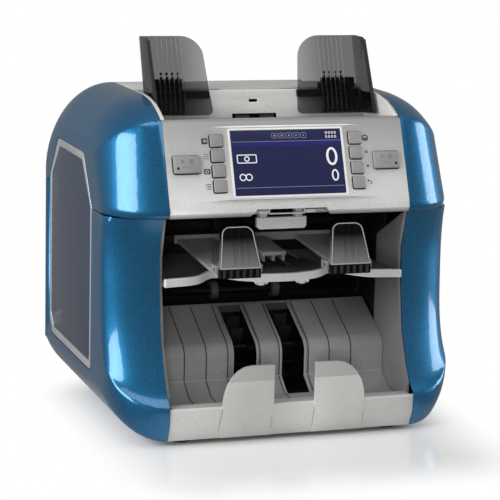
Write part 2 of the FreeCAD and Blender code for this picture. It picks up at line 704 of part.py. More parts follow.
# Base, feet and side frames
BASE_TOP = "base_low + base_thick"
INSIDE = "pocket_half - fit"
POCKET = "pocket_half - pocket_wall - 2 * fit"
base_middle = box(
    "base_middle", (f"-({INSIDE})", INSIDE), (f"{FRONT} + tab_proud + wall + toe_sweep", f"{REAR} - heel"),
    ("base_low", BASE_TOP))
base_wings = box(
    "base_wings", ("-(pocket_half + frame_sheet)", "pocket_half + frame_sheet"),
    (f"{FRONT} + foot_end", f"{REAR} - heel"), ("base_low", BASE_TOP))
node("base_plate", fuse("base_plate", base_middle, base_wings))
node("rubber_feet", group("rubber_feet", *[
    rod("foot", "foot_radius", f"{sign} * foot_in", y, ("0", "base_low"))
    for side, sign in SIDES
    for y in (f"{FRONT} + foot_end", f"{REAR} - foot_rear")]))

GEAR_REACH = "(gear_module * (stack_teeth + exit_teeth) / 2)"
STACK = (f"{FRONT} + stack_axis_back", "stack_axis_rise")
EXIT = (f"{STACK[0]} + {GEAR_REACH} * cos(gear_line)", f"{STACK[1]} + {GEAR_REACH} * sin(gear_line)")
REJECT = (f"{FRONT} + reject_back", "reject_rise")
MOTOR = (f"{FRONT} + motor_back", "motor_rise")
GATE = (f"{FRONT} + gate_back", "gate_rise")
AXES = {"stacker": STACK, "exit": EXIT, "reject": REJECT}
THROUGH = ("-body_half", "body_half")

frame_blanks = [
    box("frame_blank", (f"{sign} * pocket_half + {(sign - 1) / 2} * frame_sheet",
                        f"{sign} * pocket_half + {(sign + 1) / 2} * frame_sheet"),
        (f"{FRONT} + frame_front", f"{REAR} - frame_rear"), (BASE_TOP, "frame_top"))
    for side, sign in SIDES]
frame_holes = [rod("bearing_seat", "bearing", THROUGH, *axis) for axis in AXES.values()]
frame_holes.append(rod("gate_seat", "gate_shaft + running", THROUGH, *GATE))
frame_holes.append(rod("motor_way", "motor_shaft + way", THROUGH, *MOTOR))
node("side_frames", cut("side_frames", group("frame_blanks", *frame_blanks), *frame_holes))

bearing_rings = []
for name, axis in AXES.items():
    for side, sign in SIDES:
        span = ("pocket_half", "pocket_half + bearing_wide")
        if sign < 0:
            span = tuple(f"-({end})" for end in reversed(span))
        blank = rod("ring_blank", "bearing", span, *axis)
        bearing_rings.append(cut("ring", blank, rod("ring_bore", "shaft + running", span, *axis)))
node("shaft_bearings", group("shaft_bearings", *bearing_rings))

# Front plate with its two tabs
PLATE = f"{FRONT} + tab_proud"


def toe_strip(name, front, low_x, high_x, rounds=()):
    """A strip that follows the toe of the covers."""
    outline = [
        (front, "plate_height"), (f"{front} + toe_sweep / 7", "(plate_height + skirt) / 2"),
        (f"{front} + toe_sweep", "skirt"), (f"{PLATE} + toe_sweep + wall", "skirt"),
        (f"{PLATE} + toe_sweep / 7 + wall", "(plate_height + skirt) / 2"),
        (f"{PLATE} + wall", "plate_height")]
    return prism(name, "x", outline, low_x, high_x, rounds)


front_pieces = [
    toe_strip("toe_strip", PLATE, f"-({INSIDE})", INSIDE, [((0,), "plate_round")]),
    box("plate_rim", (f"-({POCKET})", POCKET), (f"{PLATE} + wall", f"{FRONT} + rim_deep"),
        ("plate_height - wall", "plate_height"))]
for side, sign in SIDES:
    ends = sorted((f"{sign} * tab_inner", f"{sign} * tab_outer"), key=measure)
    front_pieces.append(toe_strip(side + "_tab_foot", FRONT, *ends))
    curve = [
        (f"{sign} * (tab_top + {math.cos(turn):.4f} * (tab_outer - tab_top))",
         f"plate_height + {math.sin(turn):.4f} * (tab_height - plate_height)")
        for turn in TURNS_OF_CORNER]
    tab = [(f"{sign} * tab_inner", "plate_height"), *curve, (f"{sign} * tab_inner", "tab_height")]
    front_pieces.append(prism(side + "_tab", "y", tab, FRONT, f"{PLATE} + wall"))
node("front_plate", fuse("front_plate", *front_pieces))

# Stacker plate: a slope, a step and a tray, with two slots for the wheels
stack_line = [
    (f"{FRONT} + stack_back", "stack_rise"), (f"{FRONT} + step_back", "step_top"),
    (f"{FRONT} + step_back", "step_low"), (f"{FRONT} + tray_back", "tray_rise"),
    (f"{PLATE} + wall + toe_sweep / 7", "tray_front")]
stack_under = [
    (f"{PLATE} + wall + toe_sweep / 7", "tray_front - stack_sheet"),
    (f"{FRONT} + tray_back", "tray_rise - 1.2 * stack_sheet"),
    (f"{FRONT} + step_back + stack_sheet", "step_low - 0.7 * stack_sheet"),
    (f"{FRONT} + step_back + stack_sheet", "step_top - 0.7 * stack_sheet"),
    (f"{FRONT} + stack_back", "stack_rise - 1.2 * stack_sheet")]
stack_blank = prism(
    "stack_blank", "x", stack_line + stack_under, f"-({POCKET})", POCKET,
    [((1,), "step_round"), ((8,), "step_round - stack_sheet")])
stack_slots = [
    box("stack_slot", (f"{sign} * slot_place - slot_wide / 2", f"{sign} * slot_place + slot_wide / 2"),
        (f"{FRONT} + tray_back - wall", f"{FRONT} + stack_back - 1.6 * stack_sheet"),
        ("skirt", "stack_rise + wall"))
    for side, sign in SIDES]
node("stacker_plate", cut("stacker_plate", stack_blank, *stack_slots))

# Pocket cheeks: inner walls that follow the front of the lower covers
cheek_line = [
    (f"{FRONT} + {along} * scoop + wall", f"toe_height + {up} * (split - toe_height)")
    for along, up, sink in SCOOP]
cheek_outline = [
    (f"{PLATE} + wall + toe_sweep", BASE_TOP), *cheek_line,
    (f"{FRONT} + brow + wall", "split - seam"), (f"{FRONT} + cheek_end", "split - seam - cheek_fall"),
    (f"{FRONT} + cheek_end", BASE_TOP)]
cheeks = []
for side, sign in SIDES:
    ends = sorted(
        (f"{sign} * (pocket_half - fit)", f"{sign} * (pocket_half - fit - pocket_wall)"), key=measure)
    cheeks.append(prism(side + "_cheek", "x", cheek_outline, *ends))
node("pocket_cheeks", group("pocket_cheeks", *cheeks))

# Reject shelf and its wavy lip: shares of the pocket's half width, then of the bays' depth
WAVE = (
    (0, 0.15), (0.18, 0.24), (0.38, 0.63), (0.505, 1), (0.58, 0.82), (0.67, 0.41), (0.76, 0.19),
    (0.87, 0.1), (1, 0))


def lip_line(back):
    """The lip's front line from left to right, moved back."""
    half = [
        (share * measure(POCKET), S.front + S.lip_back + deep * S.bay_deep + back) for share, deep in WAVE]
    curve = Part.BSplineCurve()
    curve.interpolate([Vector(-x, y, 0) for x, y in half[:0:-1]] + [Vector(x, y, 0) for x, y in half])
    return curve.toShape()


def flat_plate(edges, low, high):
    """Edges drawn at Z = 0, filled and drawn out between two heights."""
    face = Part.Face(Part.Wire(edges))
    face.translate(Vector(0, 0, low))
    return face.extrude(Vector(0, 0, high - low))


lip_edges = [lip_line(0), lip_line(S.lip_wide)]
lip_ends = [
    Part.makeLine(*[edge.Vertexes[end].Point for edge in lip_edges]) for end in (-1, 0)]
node("shelf_lip", feature("shelf_lip", flat_plate(
    [lip_edges[0], lip_ends[0], lip_edges[1], lip_ends[1]], S.shelf_low, S.shelf_low + S.lip_height)))
SHELF_END = f"{FRONT} + back_wall - fit"
shelf_edge = lip_line(S.lip_wide + S.fit)
shelf_corners = [edge.Point for edge in shelf_edge.Vertexes]
shelf_back = [Vector(corner.x, measure(SHELF_END), 0) for corner in shelf_corners]
shelf_plate = feature("shelf_plate", flat_plate(
    [shelf_edge, Part.makeLine(shelf_corners[1], shelf_back[1]), Part.makeLine(shelf_back[1], shelf_back[0]),
     Part.makeLine(shelf_back[0], shelf_corners[0])], S.shelf_low, S.shelf_low + S.shelf_sheet))
shelf_slots = []
for side, sign in SIDES:
    for outer, front in (("shelf_slot_neck", "shelf_slot_front"), ("shelf_slot_wide", "shelf_slot_back")):
        shelf_slots.append(box(
            "shelf_slot", sorted((f"{sign} * shelf_slot", f"{sign} * {outer}"), key=measure),
            (f"{FRONT} + {front}", f"{SHELF_END} - wall"),
            ("shelf_low - wall", "shelf_low + 2 * shelf_sheet")))
node("reject_shelf", cut("reject_shelf", shelf_plate, *shelf_slots))

# Note arms on a bar, with the comb in the middle and ears for the stoppers
ARM_TOP = "arm_low + arm_thick"
BAR = f"{FRONT} + bar_back"
STOP_PIN = (f"{FRONT} + stopper_pin_back", "stopper_pin_rise")
EAR = "wall - 2 * fit"


def sloped(name, front, low, low_x, high_x):
    """A strip from the arm bar down to its front end."""
    outline = [(BAR, "arm_low"), (BAR, ARM_TOP), (front, f"{low} + arm_thick"), (front, low)]
    return prism(name, "x", outline, low_x, high_x)


COMB = f"{FRONT} + comb_front"
arm_pieces = [
    box("arm_bar", (f"-({INSIDE})", INSIDE), (BAR, f"{BAR} + bar_deep"),
        ("arm_low - rib / 2", f"{ARM_TOP} + wall")),
    sloped("comb_tongue", COMB, "comb_low", "-comb_half", "comb_half")]
for share in (-1, 0, 1):
    middle = f"{share} * (comb_half - 0.75 * rib)"
    arm_pieces.append(box(
        "comb_rib", (f"{middle} - rib / 2", f"{middle} + rib / 2"), (f"{COMB} + way", f"{COMB} + 6 * wall"),
        ("comb_low - 2.5 * rib", "comb_low + arm_thick / 2")))
for side, sign in SIDES:
    ends = sorted((f"{sign} * arm_inner", f"{sign} * arm_outer"), key=measure)
    arm_pieces.append(sloped(side + "_arm", f"{FRONT} + arm_front", "arm_nose", *ends))
    middle = f"{sign} * stopper_place"
    reach = f"(stopper_half + fit + {EAR})"
    arm_pieces.append(box(
        "ear_bar", (f"{middle} - {reach}", f"{middle} + {reach}"),
        (f"{FRONT} + arm_front", f"{FRONT} + arm_front + wall"), ("arm_nose", "arm_nose + arm_thick")))
    for edge in (-1, 1):
        ear = f"{middle} + {edge} * (stopper_half + fit + ({EAR}) / 2)"
        arm_pieces.append(box(
            "stopper_ear", (f"{ear} - ({EAR}) / 2", f"{ear} + ({EAR}) / 2"),
            (f"{STOP_PIN[0]} - 4 * wall / 3", f"{FRONT} + arm_front + wall"),
            (f"{STOP_PIN[1]} - wall", "arm_nose + arm_thick + wall")))
arm_bore = rod("stopper_bore", "stopper_pin + running", ("-arm_outer - wall", "arm_outer + wall"), *STOP_PIN)
node("note_arms", cut("note_arms", fuse("arm_blank", *arm_pieces), arm_bore))

# Stoppers: leaning plates with a hooked foot, on pins in the arms' ears
stop_y, stop_z = STOP_PIN
STOP_FACE = f"{stop_y} - 3 * wall"
stopper_side = [
    (STOP_FACE, "stopper_bend - stopper_foot"), (STOP_FACE, "stopper_bend"),
    (f"{STOP_FACE} + stopper_lean", "stopper_top"),
    (f"{STOP_FACE} + stopper_lean + stopper_thick", "stopper_top"),
    (f"{stop_y} - wall", f"{stop_z} + 2.5 * wall"), (f"{stop_y} + 0.75 * stopper_thick", f"{stop_z} + wall"),
    (f"{stop_y} + 0.75 * stopper_thick", f"{stop_z} - wall"), (f"{stop_y} - wall / 2", f"{stop_z} - wall"),
    (f"{stop_y} - wall / 2", "stopper_bend - stopper_foot")]
for side, sign in SIDES:
    middle = f"{sign} * stopper_place"
    low_x, high_x = f"{middle} - stopper_half", f"{middle} + stopper_half"
    profile = prism(side + "_stopper_side", "x", stopper_side, low_x, high_x)
    face = prism(
        side + "_stopper_face", "y",
        [(low_x, "shelf_low"), (high_x, "shelf_low"), (high_x, "stopper_bend"),
         (f"{high_x} - stopper_taper", "stopper_top"), (f"{low_x} + stopper_taper", "stopper_top"),
         (low_x, "stopper_bend")],
        f"{FRONT}", f"{FRONT} + arm_front + 4 * wall", [((3, 4), "2 * stopper_thick")])
    plate = doc.addObject("Part::Common", side + "_stopper_plate")
    plate.Base = profile
    plate.Tool = face
    pin = rod(
        side + "_stopper_pin", "stopper_pin",
        (f"{low_x} - fit - ({EAR})", f"{high_x} + fit + ({EAR})"), *STOP_PIN)
    node(side + "_stopper", fuse(side + "_stopper", plate, pin))

# Transport wall behind both pockets, with a way through for each pocket's notes
wall_blank = box(
    "wall_blank", (f"-({INSIDE})", INSIDE), (f"{FRONT} + back_wall", f"{FRONT} + back_wall + wall"),
    (BASE_TOP, "frame_top"))
note_ways = [
    box("note_way", ("-slot_place * 4", "slot_place * 4"),
        (f"{FRONT} + back_wall - wall", f"{FRONT} + back_wall + 2 * wall"),
        (f"{low} + wall", f"{low} + 4 * wall"))
    for low in (EXIT[1], "arm_low")]
node("transport_wall", cut("transport_wall", wall_blank, *note_ways))


# Rotating parts
def tooth_ring(teeth, module, phase):
    """Outline of a gear in the plane X = 0; phase is the angle of one tooth's middle."""
    pressure = math.radians(20)
    play = 0.2 * module
    pitch = teeth * module / 2
    base = pitch * math.cos(pressure)
    tip = pitch + 0.85 * module
    root = pitch - 1.2 * module
    half = (math.pi * module / 2 - play) / 2 / pitch
    involute = math.tan(pressure) - pressure

    def flank(radius):
        slope = math.acos(min(1.0, base / radius))
        return half + involute - (math.tan(slope) - slope)

    radii = [root, *[root + (tip - root) * share for share in (0.35, 0.6, 0.8)], tip]
    points = []
    for tooth in range(int(teeth)):
        middle = phase + 2 * math.pi * tooth / teeth
        rising = [(radius, middle - flank(radius)) for radius in radii]
        falling = [(radius, middle + flank(radius)) for radius in reversed(radii)]
        points += [
            Vector(0, radius * math.cos(angle), radius * math.sin(angle))
            for radius, angle in rising + falling]
    return Part.makePolygon(points + points[:1])


def gear(teeth, module, phase, centre, low, high, bore):
    """A gear along X with a bore."""
    blank = slab(tooth_ring(teeth, module, phase), low, high)
    blank = blank.cut(Part.makeCylinder(bore, high - low, Vector(low, 0, 0), Vector(1, 0, 0)))
    blank.translate(Vector(0, *centre))
    return blank


def belt_loop(first, first_radius, second, second_radius):
    """Outline round two pulleys in the plane X = 0."""
    first = Vector(0, *first)
    second = Vector(0, *second)
    line = second - first
    heading = math.atan2(line.z, line.y)
    spread = math.acos((first_radius - second_radius) / line.Length)

    def at(centre, radius, angle):
        return centre + Vector(0, math.cos(angle), math.sin(angle)) * radius

    tops = [at(c, r, heading + spread) for c, r in ((first, first_radius), (second, second_radius))]
    feet = [at(c, r, heading - spread) for c, r in ((first, first_radius), (second, second_radius))]
    back = at(first, first_radius, heading + math.pi)
    front = at(second, second_radius, heading)
    return Part.Wire([
        Part.makeLine(tops[0], tops[1]), Part.Arc(tops[1], front, feet[1]).toShape(),
        Part.makeLine(feet[1], feet[0]), Part.Arc(feet[0], back, tops[0]).toShape()])


def belt_solid(first, first_radius, second, second_radius, low, high):
    gap = S.fit
    inner = belt_loop(first, first_radius + gap, second, second_radius + gap)
    outer = belt_loop(first, first_radius + gap + S.belt, second, second_radius + gap + S.belt)
    return slab(outer, low, high).cut(slab(inner, low, high))


def place(axis):
    """An axis as two numbers, Y and Z."""
    return tuple(measure(text) for text in axis)


def sleeve(name, radius, bore, span, axis):
    """A roller or pulley with a bore."""
    return cut(name, rod(name + "_blank", radius, span, *axis), rod(name + "_bore", bore, span, *axis))


PULLEYS = ("pulley_place", "pulley_place + belt_wide + pulley_rim")
GEARS = (-S.pulley_place - S.gear_wide, -S.pulley_place)
SHAFT_SPAN = ("-(pulley_place + gear_wide + shaft_end)", "pulley_place + belt_wide + shaft_end")
BORE = "shaft + running"
mesh_line = math.radians(S.gear_line)
stacker_gear = feature("stacker_gear", gear(
    S.stack_teeth, S.gear_module, mesh_line, place(STACK), *GEARS, S.shaft + S.running))
exit_gear = feature("exit_gear", gear(
    S.exit_teeth, S.gear_module, mesh_line + math.pi + math.pi / S.exit_teeth, place(EXIT), *GEARS,
    S.shaft + S.running))
node("stacker_shaft", group(
    "stacker_shaft", rod("stacker_rod", "shaft", SHAFT_SPAN, *STACK),
    sleeve("stacker_pulley", "stack_pulley", BORE, PULLEYS, STACK), stacker_gear))


def finned_wheel(middle):
    """A stacker wheel: a hub with slanted fins that catch the notes."""
    low = middle - S.stack_wheel / 2
    along = Vector(1, 0, 0)
    hub = Part.makeCylinder(S.stack_hub, S.stack_wheel, Vector(low, 0, 0), along)
    fins = []
    for number in range(int(S.stack_fins)):
        fin = Part.makeBox(S.stack_wheel, S.fin, S.stack_radius, Vector(low, -0.8 * S.stack_hub, 0))
        fin.rotate(Vector(), along, 360.0 * number / S.stack_fins)
        fins.append(fin)
    disc = Part.makeCylinder(S.stack_radius, S.stack_wheel, Vector(low, 0, 0), along)
    bore = Part.makeCylinder(S.shaft + S.running, S.stack_wheel, Vector(low, 0, 0), along)
    wheel = hub.multiFuse(fins).common(disc).cut(bore)
    wheel.translate(Vector(0, *place(STACK)))
    return wheel


node("stacker_wheels", feature(
    "stacker_wheels", Part.Compound([finned_wheel(sign * S.slot_place) for side, sign in SIDES])))


def wheels(name, radius, middle, width, axis, bore):
    """A pair of plain wheels on one shaft."""
    return [
        sleeve(side + name, radius, bore,
               (f"{sign} * {middle} - {width} / 2", f"{sign} * {middle} + {width} / 2"), axis)
        for side, sign in SIDES]


node("exit_rollers", group(
    "exit_rollers", rod("exit_rod", "shaft", SHAFT_SPAN, *EXIT),
    *wheels("_exit_roller", "exit_radius", "exit_place", "exit_wide", EXIT, BORE),
    sleeve("exit_pulley", "small_pulley", BORE, PULLEYS, EXIT), exit_gear))
node("reject_wheels", group(
    "reject_wheels",
    rod("reject_rod", "shaft", ("-(pocket_half + bearing_wide + way)", SHAFT_SPAN[1]), *REJECT),
    *wheels("_reject_wheel", "reject_radius", "reject_place", "reject_wide", REJECT, BORE),
    sleeve("reject_pulley", "small_pulley", BORE, PULLEYS, REJECT)))

belt_low = S.pulley_place + S.pulley_rim / 2
belt_plane = (belt_low, belt_low + S.belt_wide)
node("drive_belts", feature("drive_belts", Part.Compound([
    belt_solid(place(STACK), S.stack_pulley, place(MOTOR), S.motor_pulley, *belt_plane),
    belt_solid(place(EXIT), S.small_pulley, place(REJECT), S.small_pulley, *belt_plane)])))

MOTOR_SPAN = ("pocket_half - motor_long", "pocket_half")
node("main_motor", sleeve("main_motor", "motor_radius", "motor_shaft + running", MOTOR_SPAN, MOTOR))
node("motor_pulley", fuse(
    "motor_pulley",
    rod("motor_rod", "motor_shaft", ("pocket_half - motor_long + 4 * wall", SHAFT_SPAN[1]), *MOTOR),
    rod("motor_disc", "motor_pulley", PULLEYS, *MOTOR)))
node("diverter_gate", fuse(
    "diverter_gate",
    rod("gate_rod", "gate_shaft", ("-(pocket_half + frame_sheet)", "pocket_half + frame_sheet"), *GATE),
    box("gate_blade", ("-slot_place * 4", "slot_place * 4"), (GATE[0], f"{GATE[0]} + gate_long"),
        (f"{GATE[1]} - gate_shaft / 3", f"{GATE[1]} + gate_shaft / 3"))))


# Rear cover with the hinge's lower knuckles, the sockets' openings and the vents
UPPER_LOW = "split + seam / 2"
LOWER_TOP = "split - seam / 2"
REAR_IN = f"{REAR} - wall"
HINGE = (REAR, "split")
SWITCH = (f"{REAR} - wall - 2 * switch_pin", "socket_rise")


def knuckles(name, radius, grow, upper):
    """Rods round the hinge's axis where the upper or the lower knuckles are."""
    rods = []
    for side, sign in SIDES:
        middle = f"{sign} * hinge_place"
        if upper:
            spans = [(f"{middle} - knuckle_half - {grow}", f"{middle} + knuckle_half + {grow}")]
        else:
            spans = [
                (f"{middle} - hinge_half - {grow}", f"{middle} - knuckle_half - fit + {grow}"),
                (f"{middle} + knuckle_half + fit - {grow}", f"{middle} + hinge_half + {grow}")]
        rods += [rod(name, radius, span, *HINGE) for span in spans]
    return rods


def around(middle, size, gap="0"):
    """A pair of expressions on both sides of a middle."""
    return (f"{middle} - ({size}) / 2 - {gap}", f"{middle} + ({size}) / 2 + {gap}")


rear_line = [
    (REAR, LOWER_TOP), (REAR, "skirt"),
    (f"{REAR} - heel - 2 * wall", "skirt"), (f"{REAR} - heel - 2 * wall", "base_low"),
    (REAR_IN, "base_low"), (REAR_IN, LOWER_TOP)]
rear_blank = prism(
    "rear_blank", "x", rear_line, f"-({INSIDE})", INSIDE, [((1,), "heel"), ((4,), "heel - wall")])
rear_ways = (f"{REAR} - 2 * wall", f"{REAR} + wall")
inlet_across = around("inlet_place", "inlet_wide")
inlet_up = around("socket_rise", "inlet_tall")
port_middles = [f"-port_place + {step} * port_pitch" for step in (-1, 0, 1)]
port_up = around("socket_rise", "port_tall")
rear_openings = [
    box("inlet_opening", inlet_across, rear_ways, inlet_up),
    box("switch_opening", around("switch_place", "switch_wide", "2 * fit"), rear_ways,
        around("socket_rise", "switch_tall", "3 * fit"))]
rear_openings += [
    box("port_opening", around(middle, "port_wide"), rear_ways, port_up) for middle in port_middles]
rear_openings += [
    box("vent", around(f"{step} * vent_pitch", "vent_wide"), rear_ways, around("vent_rise", "vent_tall"))
    for step in range(-5, 6)]
rear_openings += knuckles("upper_knuckle_room", "hinge_radius + fit", "fit", True)
rear_shell = cut("rear_shell", rear_blank, *rear_openings)
switch_ears = []
for edge in (-1, 1):
    ear = f"switch_place + {edge} * (switch_wide / 2 + 2 * fit + ({EAR}) / 2)"
    switch_ears.append(box(
        "switch_ear", around(ear, EAR), (f"{SWITCH[0]} - 2 * switch_pin", REAR_IN),
        around("socket_rise", "2 * wall")))
rear_whole = fuse(
    "rear_whole", rear_shell, *switch_ears, *knuckles("lower_knuckle", "hinge_radius", "0", False))
SWITCH_PIN_SPAN = around("switch_place", f"switch_wide + 4 * fit + 2 * ({EAR})")
node("rear_cover", cut(
    "rear_cover", rear_whole, rod("switch_bore", "switch_pin + running", SWITCH_PIN_SPAN, *SWITCH),
    *knuckles("lower_pin_bore", "hinge_pin", "wall", False)))
node("hinge_pins", group("hinge_pins", *[
    rod(side + "_hinge_pin", "hinge_pin", around(f"{sign} * hinge_place", "2 * hinge_half"), *HINGE)
    for side, sign in SIDES]))
node("power_switch", fuse(
    "power_switch",
    box("rocker", around("switch_place", "switch_wide"),
        (f"{SWITCH[0]} - switch_pin - wall / 4", f"{REAR} + switch_proud"),
        around("socket_rise", "switch_tall")),
    rod("rocker_pin", "switch_pin", SWITCH_PIN_SPAN, *SWITCH)))


def socket(name, middle, wide, tall, deep):
    """A housing with a cavity that opens at the rear."""
    housing = box(
        name + "_housing", around(middle, wide), (f"{REAR} - {deep}", REAR), around("socket_rise", tall))
    cavity = box(
        name + "_cavity", around(middle, wide, "-wall / 2"), (f"{REAR} - {deep} + wall", f"{REAR} + wall"),
        around("socket_rise", tall, "-wall / 2"))
    return cut(name, housing, cavity)


inlet_pins = [
    box("inlet_pin", around(f"inlet_place + {step} * prong_pitch", "prong"),
        (f"{REAR} - inlet_deep + wall", f"{REAR} - wall"),
        around(f"socket_rise + {lift} * prong", "2 * prong"))
    for step, lift in ((-1, -1), (0, 1), (1, -1))]
inlet_shell = socket("inlet_shell", "inlet_place", "inlet_wide", "inlet_tall", "inlet_deep")
node("rear_sockets", group(
    "rear_sockets", fuse("inlet", inlet_shell, *inlet_pins),
    *[socket("port", middle, "port_wide", "port_tall", "inlet_deep - wall") for middle in port_middles]))

# Main board on posts in front of the rear cover
BOARD = (f"{REAR_IN} - board_stand - board", f"{REAR_IN} - board_stand")
board_pieces = [box("board_sheet", ("-board_half", "board_half"), BOARD, ("board_low", "board_top"))]
for step in (-2, -1, 0, 1, 2):
    for share in (1, 2, 3):
        rise = f"board_low + {share} * (board_top - board_low) / 4"
        board_pieces.append(box(
            "chip", around(f"{step} * chip_pitch", "chip_wide"), (f"{BOARD[0]} - chip_tall", BOARD[0]),
            around(rise, "chip_wide")))
for side, sign in SIDES:
    for rise in ("board_low + 2 * screw_radius", "board_top - 2 * screw_radius"):
        board_pieces.append(rod(
            "board_post", "screw_radius", f"{sign} * (board_half - 2 * screw_radius)",
            (BOARD[1], REAR_IN), rise))
node("main_board", fuse("main_board", *board_pieces))
node("cover_screws", group("cover_screws", *[
    rod("cover_screw", "screw_radius", f"{sign} * screw_place", (REAR, f"{REAR} + screw_tall"), rise)
    for side, sign in SIDES
    for rise in ("screw_low", "screw_high")]))

# Control panel: lip, tilted face with a raised field, ledge, and a floor with the latch notch
LIP_FRONT = f"{FRONT} + lip_reach"
HEAD = (panel_y("panel_high", "0"), panel_z("panel_high", "0"))
RIDGE = (f"{HEAD[0]} + 1.5 * wall", f"{HEAD[1]} + wall / 2")
LEDGE = (f"{FRONT} + ledge_back", f"{RIDGE[1]} - ledge_drop")
FLOOR_BACK = f"{FRONT} + flange_back"
panel_outline = [
    (f"{LIP_FRONT} + wall", UPPER_LOW), (LIP_FRONT, "split + lip_tall"),
    (panel_y("-panel_low", "0"), panel_z("-panel_low", "0")), HEAD, RIDGE, LEDGE,
    (LEDGE[0], f"{LEDGE[1]} - wall"), (RIDGE[0], f"{RIDGE[1]} - wall - fit"),
    (panel_y("panel_high - wall", "-wall"), panel_z("panel_high - wall", "-wall")),
    (panel_y("-panel_low", "-wall"), panel_z("-panel_low", "-wall")),
    (f"{LIP_FRONT} + 2 * wall", f"{UPPER_LOW} + wall"),
    (FLOOR_BACK, f"{UPPER_LOW} + wall"), (FLOOR_BACK, UPPER_LOW)]
panel_blank = prism("panel_blank", "x", panel_outline, "-panel_half", "panel_half")
field = prism(
    "field", "y",
    [("-plateau_foot", "-wall / 2"), ("-plateau_foot", "0"), ("-plateau_top", "plateau"),
     ("plateau_top", "plateau"), ("plateau_foot", "0"), ("plateau_foot", "-wall / 2")],
    "-plateau_half", "plateau_half")
field.Placement = Placement(Vector(), Rotation(Vector(1, 0, 0), 90 - S.tilt))
field.setExpression("Placement.Base.y", bound(panel_y("0", "0")))
field.setExpression("Placement.Base.z", bound(panel_z("0", "0")))

KEYS = {}
for column, (side, sign) in enumerate(SIDES):
    for row, step in enumerate((1.5, 0.5, -0.5, -1.5)):
        KEYS[f"function_key_{4 * column + row + 1}"] = (
            f"{sign} * key_place", f"key_lift + {step} * key_pitch", "key_wide", "key_tall")
    KEYS["start_key_" + side] = (f"{sign} * start_place", "0", "start_wide", "start_tall")
DEEP = "-4 * wall"
panel_openings = [
    panel_box("key_hole", around(across, wide, "key_gap"), around(along, tall, "key_gap"), (DEEP, "4 * wall"))
    for across, along, wide, tall in KEYS.values()]
panel_openings.append(panel_box(
    "display_hole", around("0", "display_wide", "fit"), around("0", "display_tall", "fit"),
    (DEEP, "4 * wall")))
panel_openings.append(prism(
    "latch_notch", "y",
    [("-notch_half - wall", "split - seam"), ("notch_half + wall", "split - seam"),
     ("notch_half - wall", "split + notch_rise"), ("-notch_half + wall", "split + notch_rise")],
    f"{LIP_FRONT} - wall", f"{LIP_FRONT} + 4 * wall"))
panel_openings.append(box(
    "latch_way", ("-handle_half - wall", "handle_half + wall"),
    (f"{LIP_FRONT} + 3 * wall", f"{FRONT} + latch_back + 2 * wall"), ("split - seam", "split + 2 * wall")))
panel_openings.append(box(
    "feed_way", ("-feed_half - wall / 2", "feed_half + wall / 2"),
    (f"{LEDGE[0]} - 1.5 * wall", f"{LEDGE[0]} + wall"), (f"{LEDGE[1]} - 4 * wall", f"{LEDGE[1]} + 2 * wall")))
panel_shell = cut("panel_shell", fuse("panel_whole", panel_blank, field), *panel_openings)
LATCH = (f"{FRONT} + latch_back", "split + latch_rise")
EAR_IN = "handle_half + 1.5 * wall"
latch_ears = [
    box("latch_ear", around(f"{sign} * ({EAR_IN} + wall / 2)", "wall"),
        (f"{LATCH[0]} - 2 * wall", f"{LATCH[0]} + 2 * wall"),
        (f"{UPPER_LOW} + wall", f"{LATCH[1]} + 2 * latch_pin"))
    for side, sign in SIDES]
LATCH_SPAN = (f"-({EAR_IN} + wall)", f"{EAR_IN} + wall")
node("control_panel", cut(
    "control_panel", fuse("panel_with_ears", panel_shell, *latch_ears),
    rod("latch_bore", "latch_pin + running", LATCH_SPAN, *LATCH)))

# Latch handle: a paddle below the lip, on two arms
PADDLE_TOP = f"{LOWER_TOP} - handle_drop"
handle_pieces = [
    prism(
        "handle_paddle", "y",
        [("-handle_half", f"{PADDLE_TOP} - handle_tall"), ("handle_half", f"{PADDLE_TOP} - handle_tall"),
         ("handle_half", PADDLE_TOP), ("-handle_half", PADDLE_TOP)],
        f"{LATCH[0]} - handle_thick - latch_pin", f"{LATCH[0]} - latch_pin", [((0, 1), "handle_round")]),
    rod("latch_rod", "latch_pin", LATCH_SPAN, *LATCH)]
for side, sign in SIDES:
    handle_pieces.append(box(
        "handle_arm", around(f"{sign} * (handle_half - 2 * wall)", "2 * wall"),
        (f"{LATCH[0]} - handle_thick", f"{LATCH[0]} + wall"), (f"{PADDLE_TOP} - wall", f"{LATCH[1]} + wall")))
node("latch_handle", fuse("latch_handle", *handle_pieces))

# Display, its module and the keys
node("display_window", panel_box(
    "display_window", around("0", "display_wide"), around("0", "display_tall"), ("-wall / 2", "plateau")))
FACE_BACK = "-wall"
module_pieces = [
    panel_box("display_cell", around("0", "display_wide", "wall"), around("0", "display_tall", "wall"),
              ("-board_back", FACE_BACK)),
    panel_box("key_board", ("-panel_half + 2 * wall", "panel_half - 2 * wall"),
              ("-plateau_half", "plateau_half"), ("-board_back - board", "-board_back"))]
for across, along, wide, tall in KEYS.values():
    module_pieces.append(panel_box(
        "key_switch", around(across, "2 * wall"), around(along, "2 * wall"),
        ("-board_back", "-wall - 2 * fit - key_flange - key_travel")))
node("display_module", fuse("display_module", *module_pieces))
for name, (across, along, wide, tall) in KEYS.items():
    rim = (f"{FACE_BACK} - fit - key_flange", f"{FACE_BACK} - fit")
    node(name, fuse(
        name, panel_box(name + "_cap", around(across, wide), around(along, tall), (rim[1], "key_proud")),
        panel_box(name + "_rim", around(across, wide, "key_flange"), around(along, tall, "key_flange"), rim)))

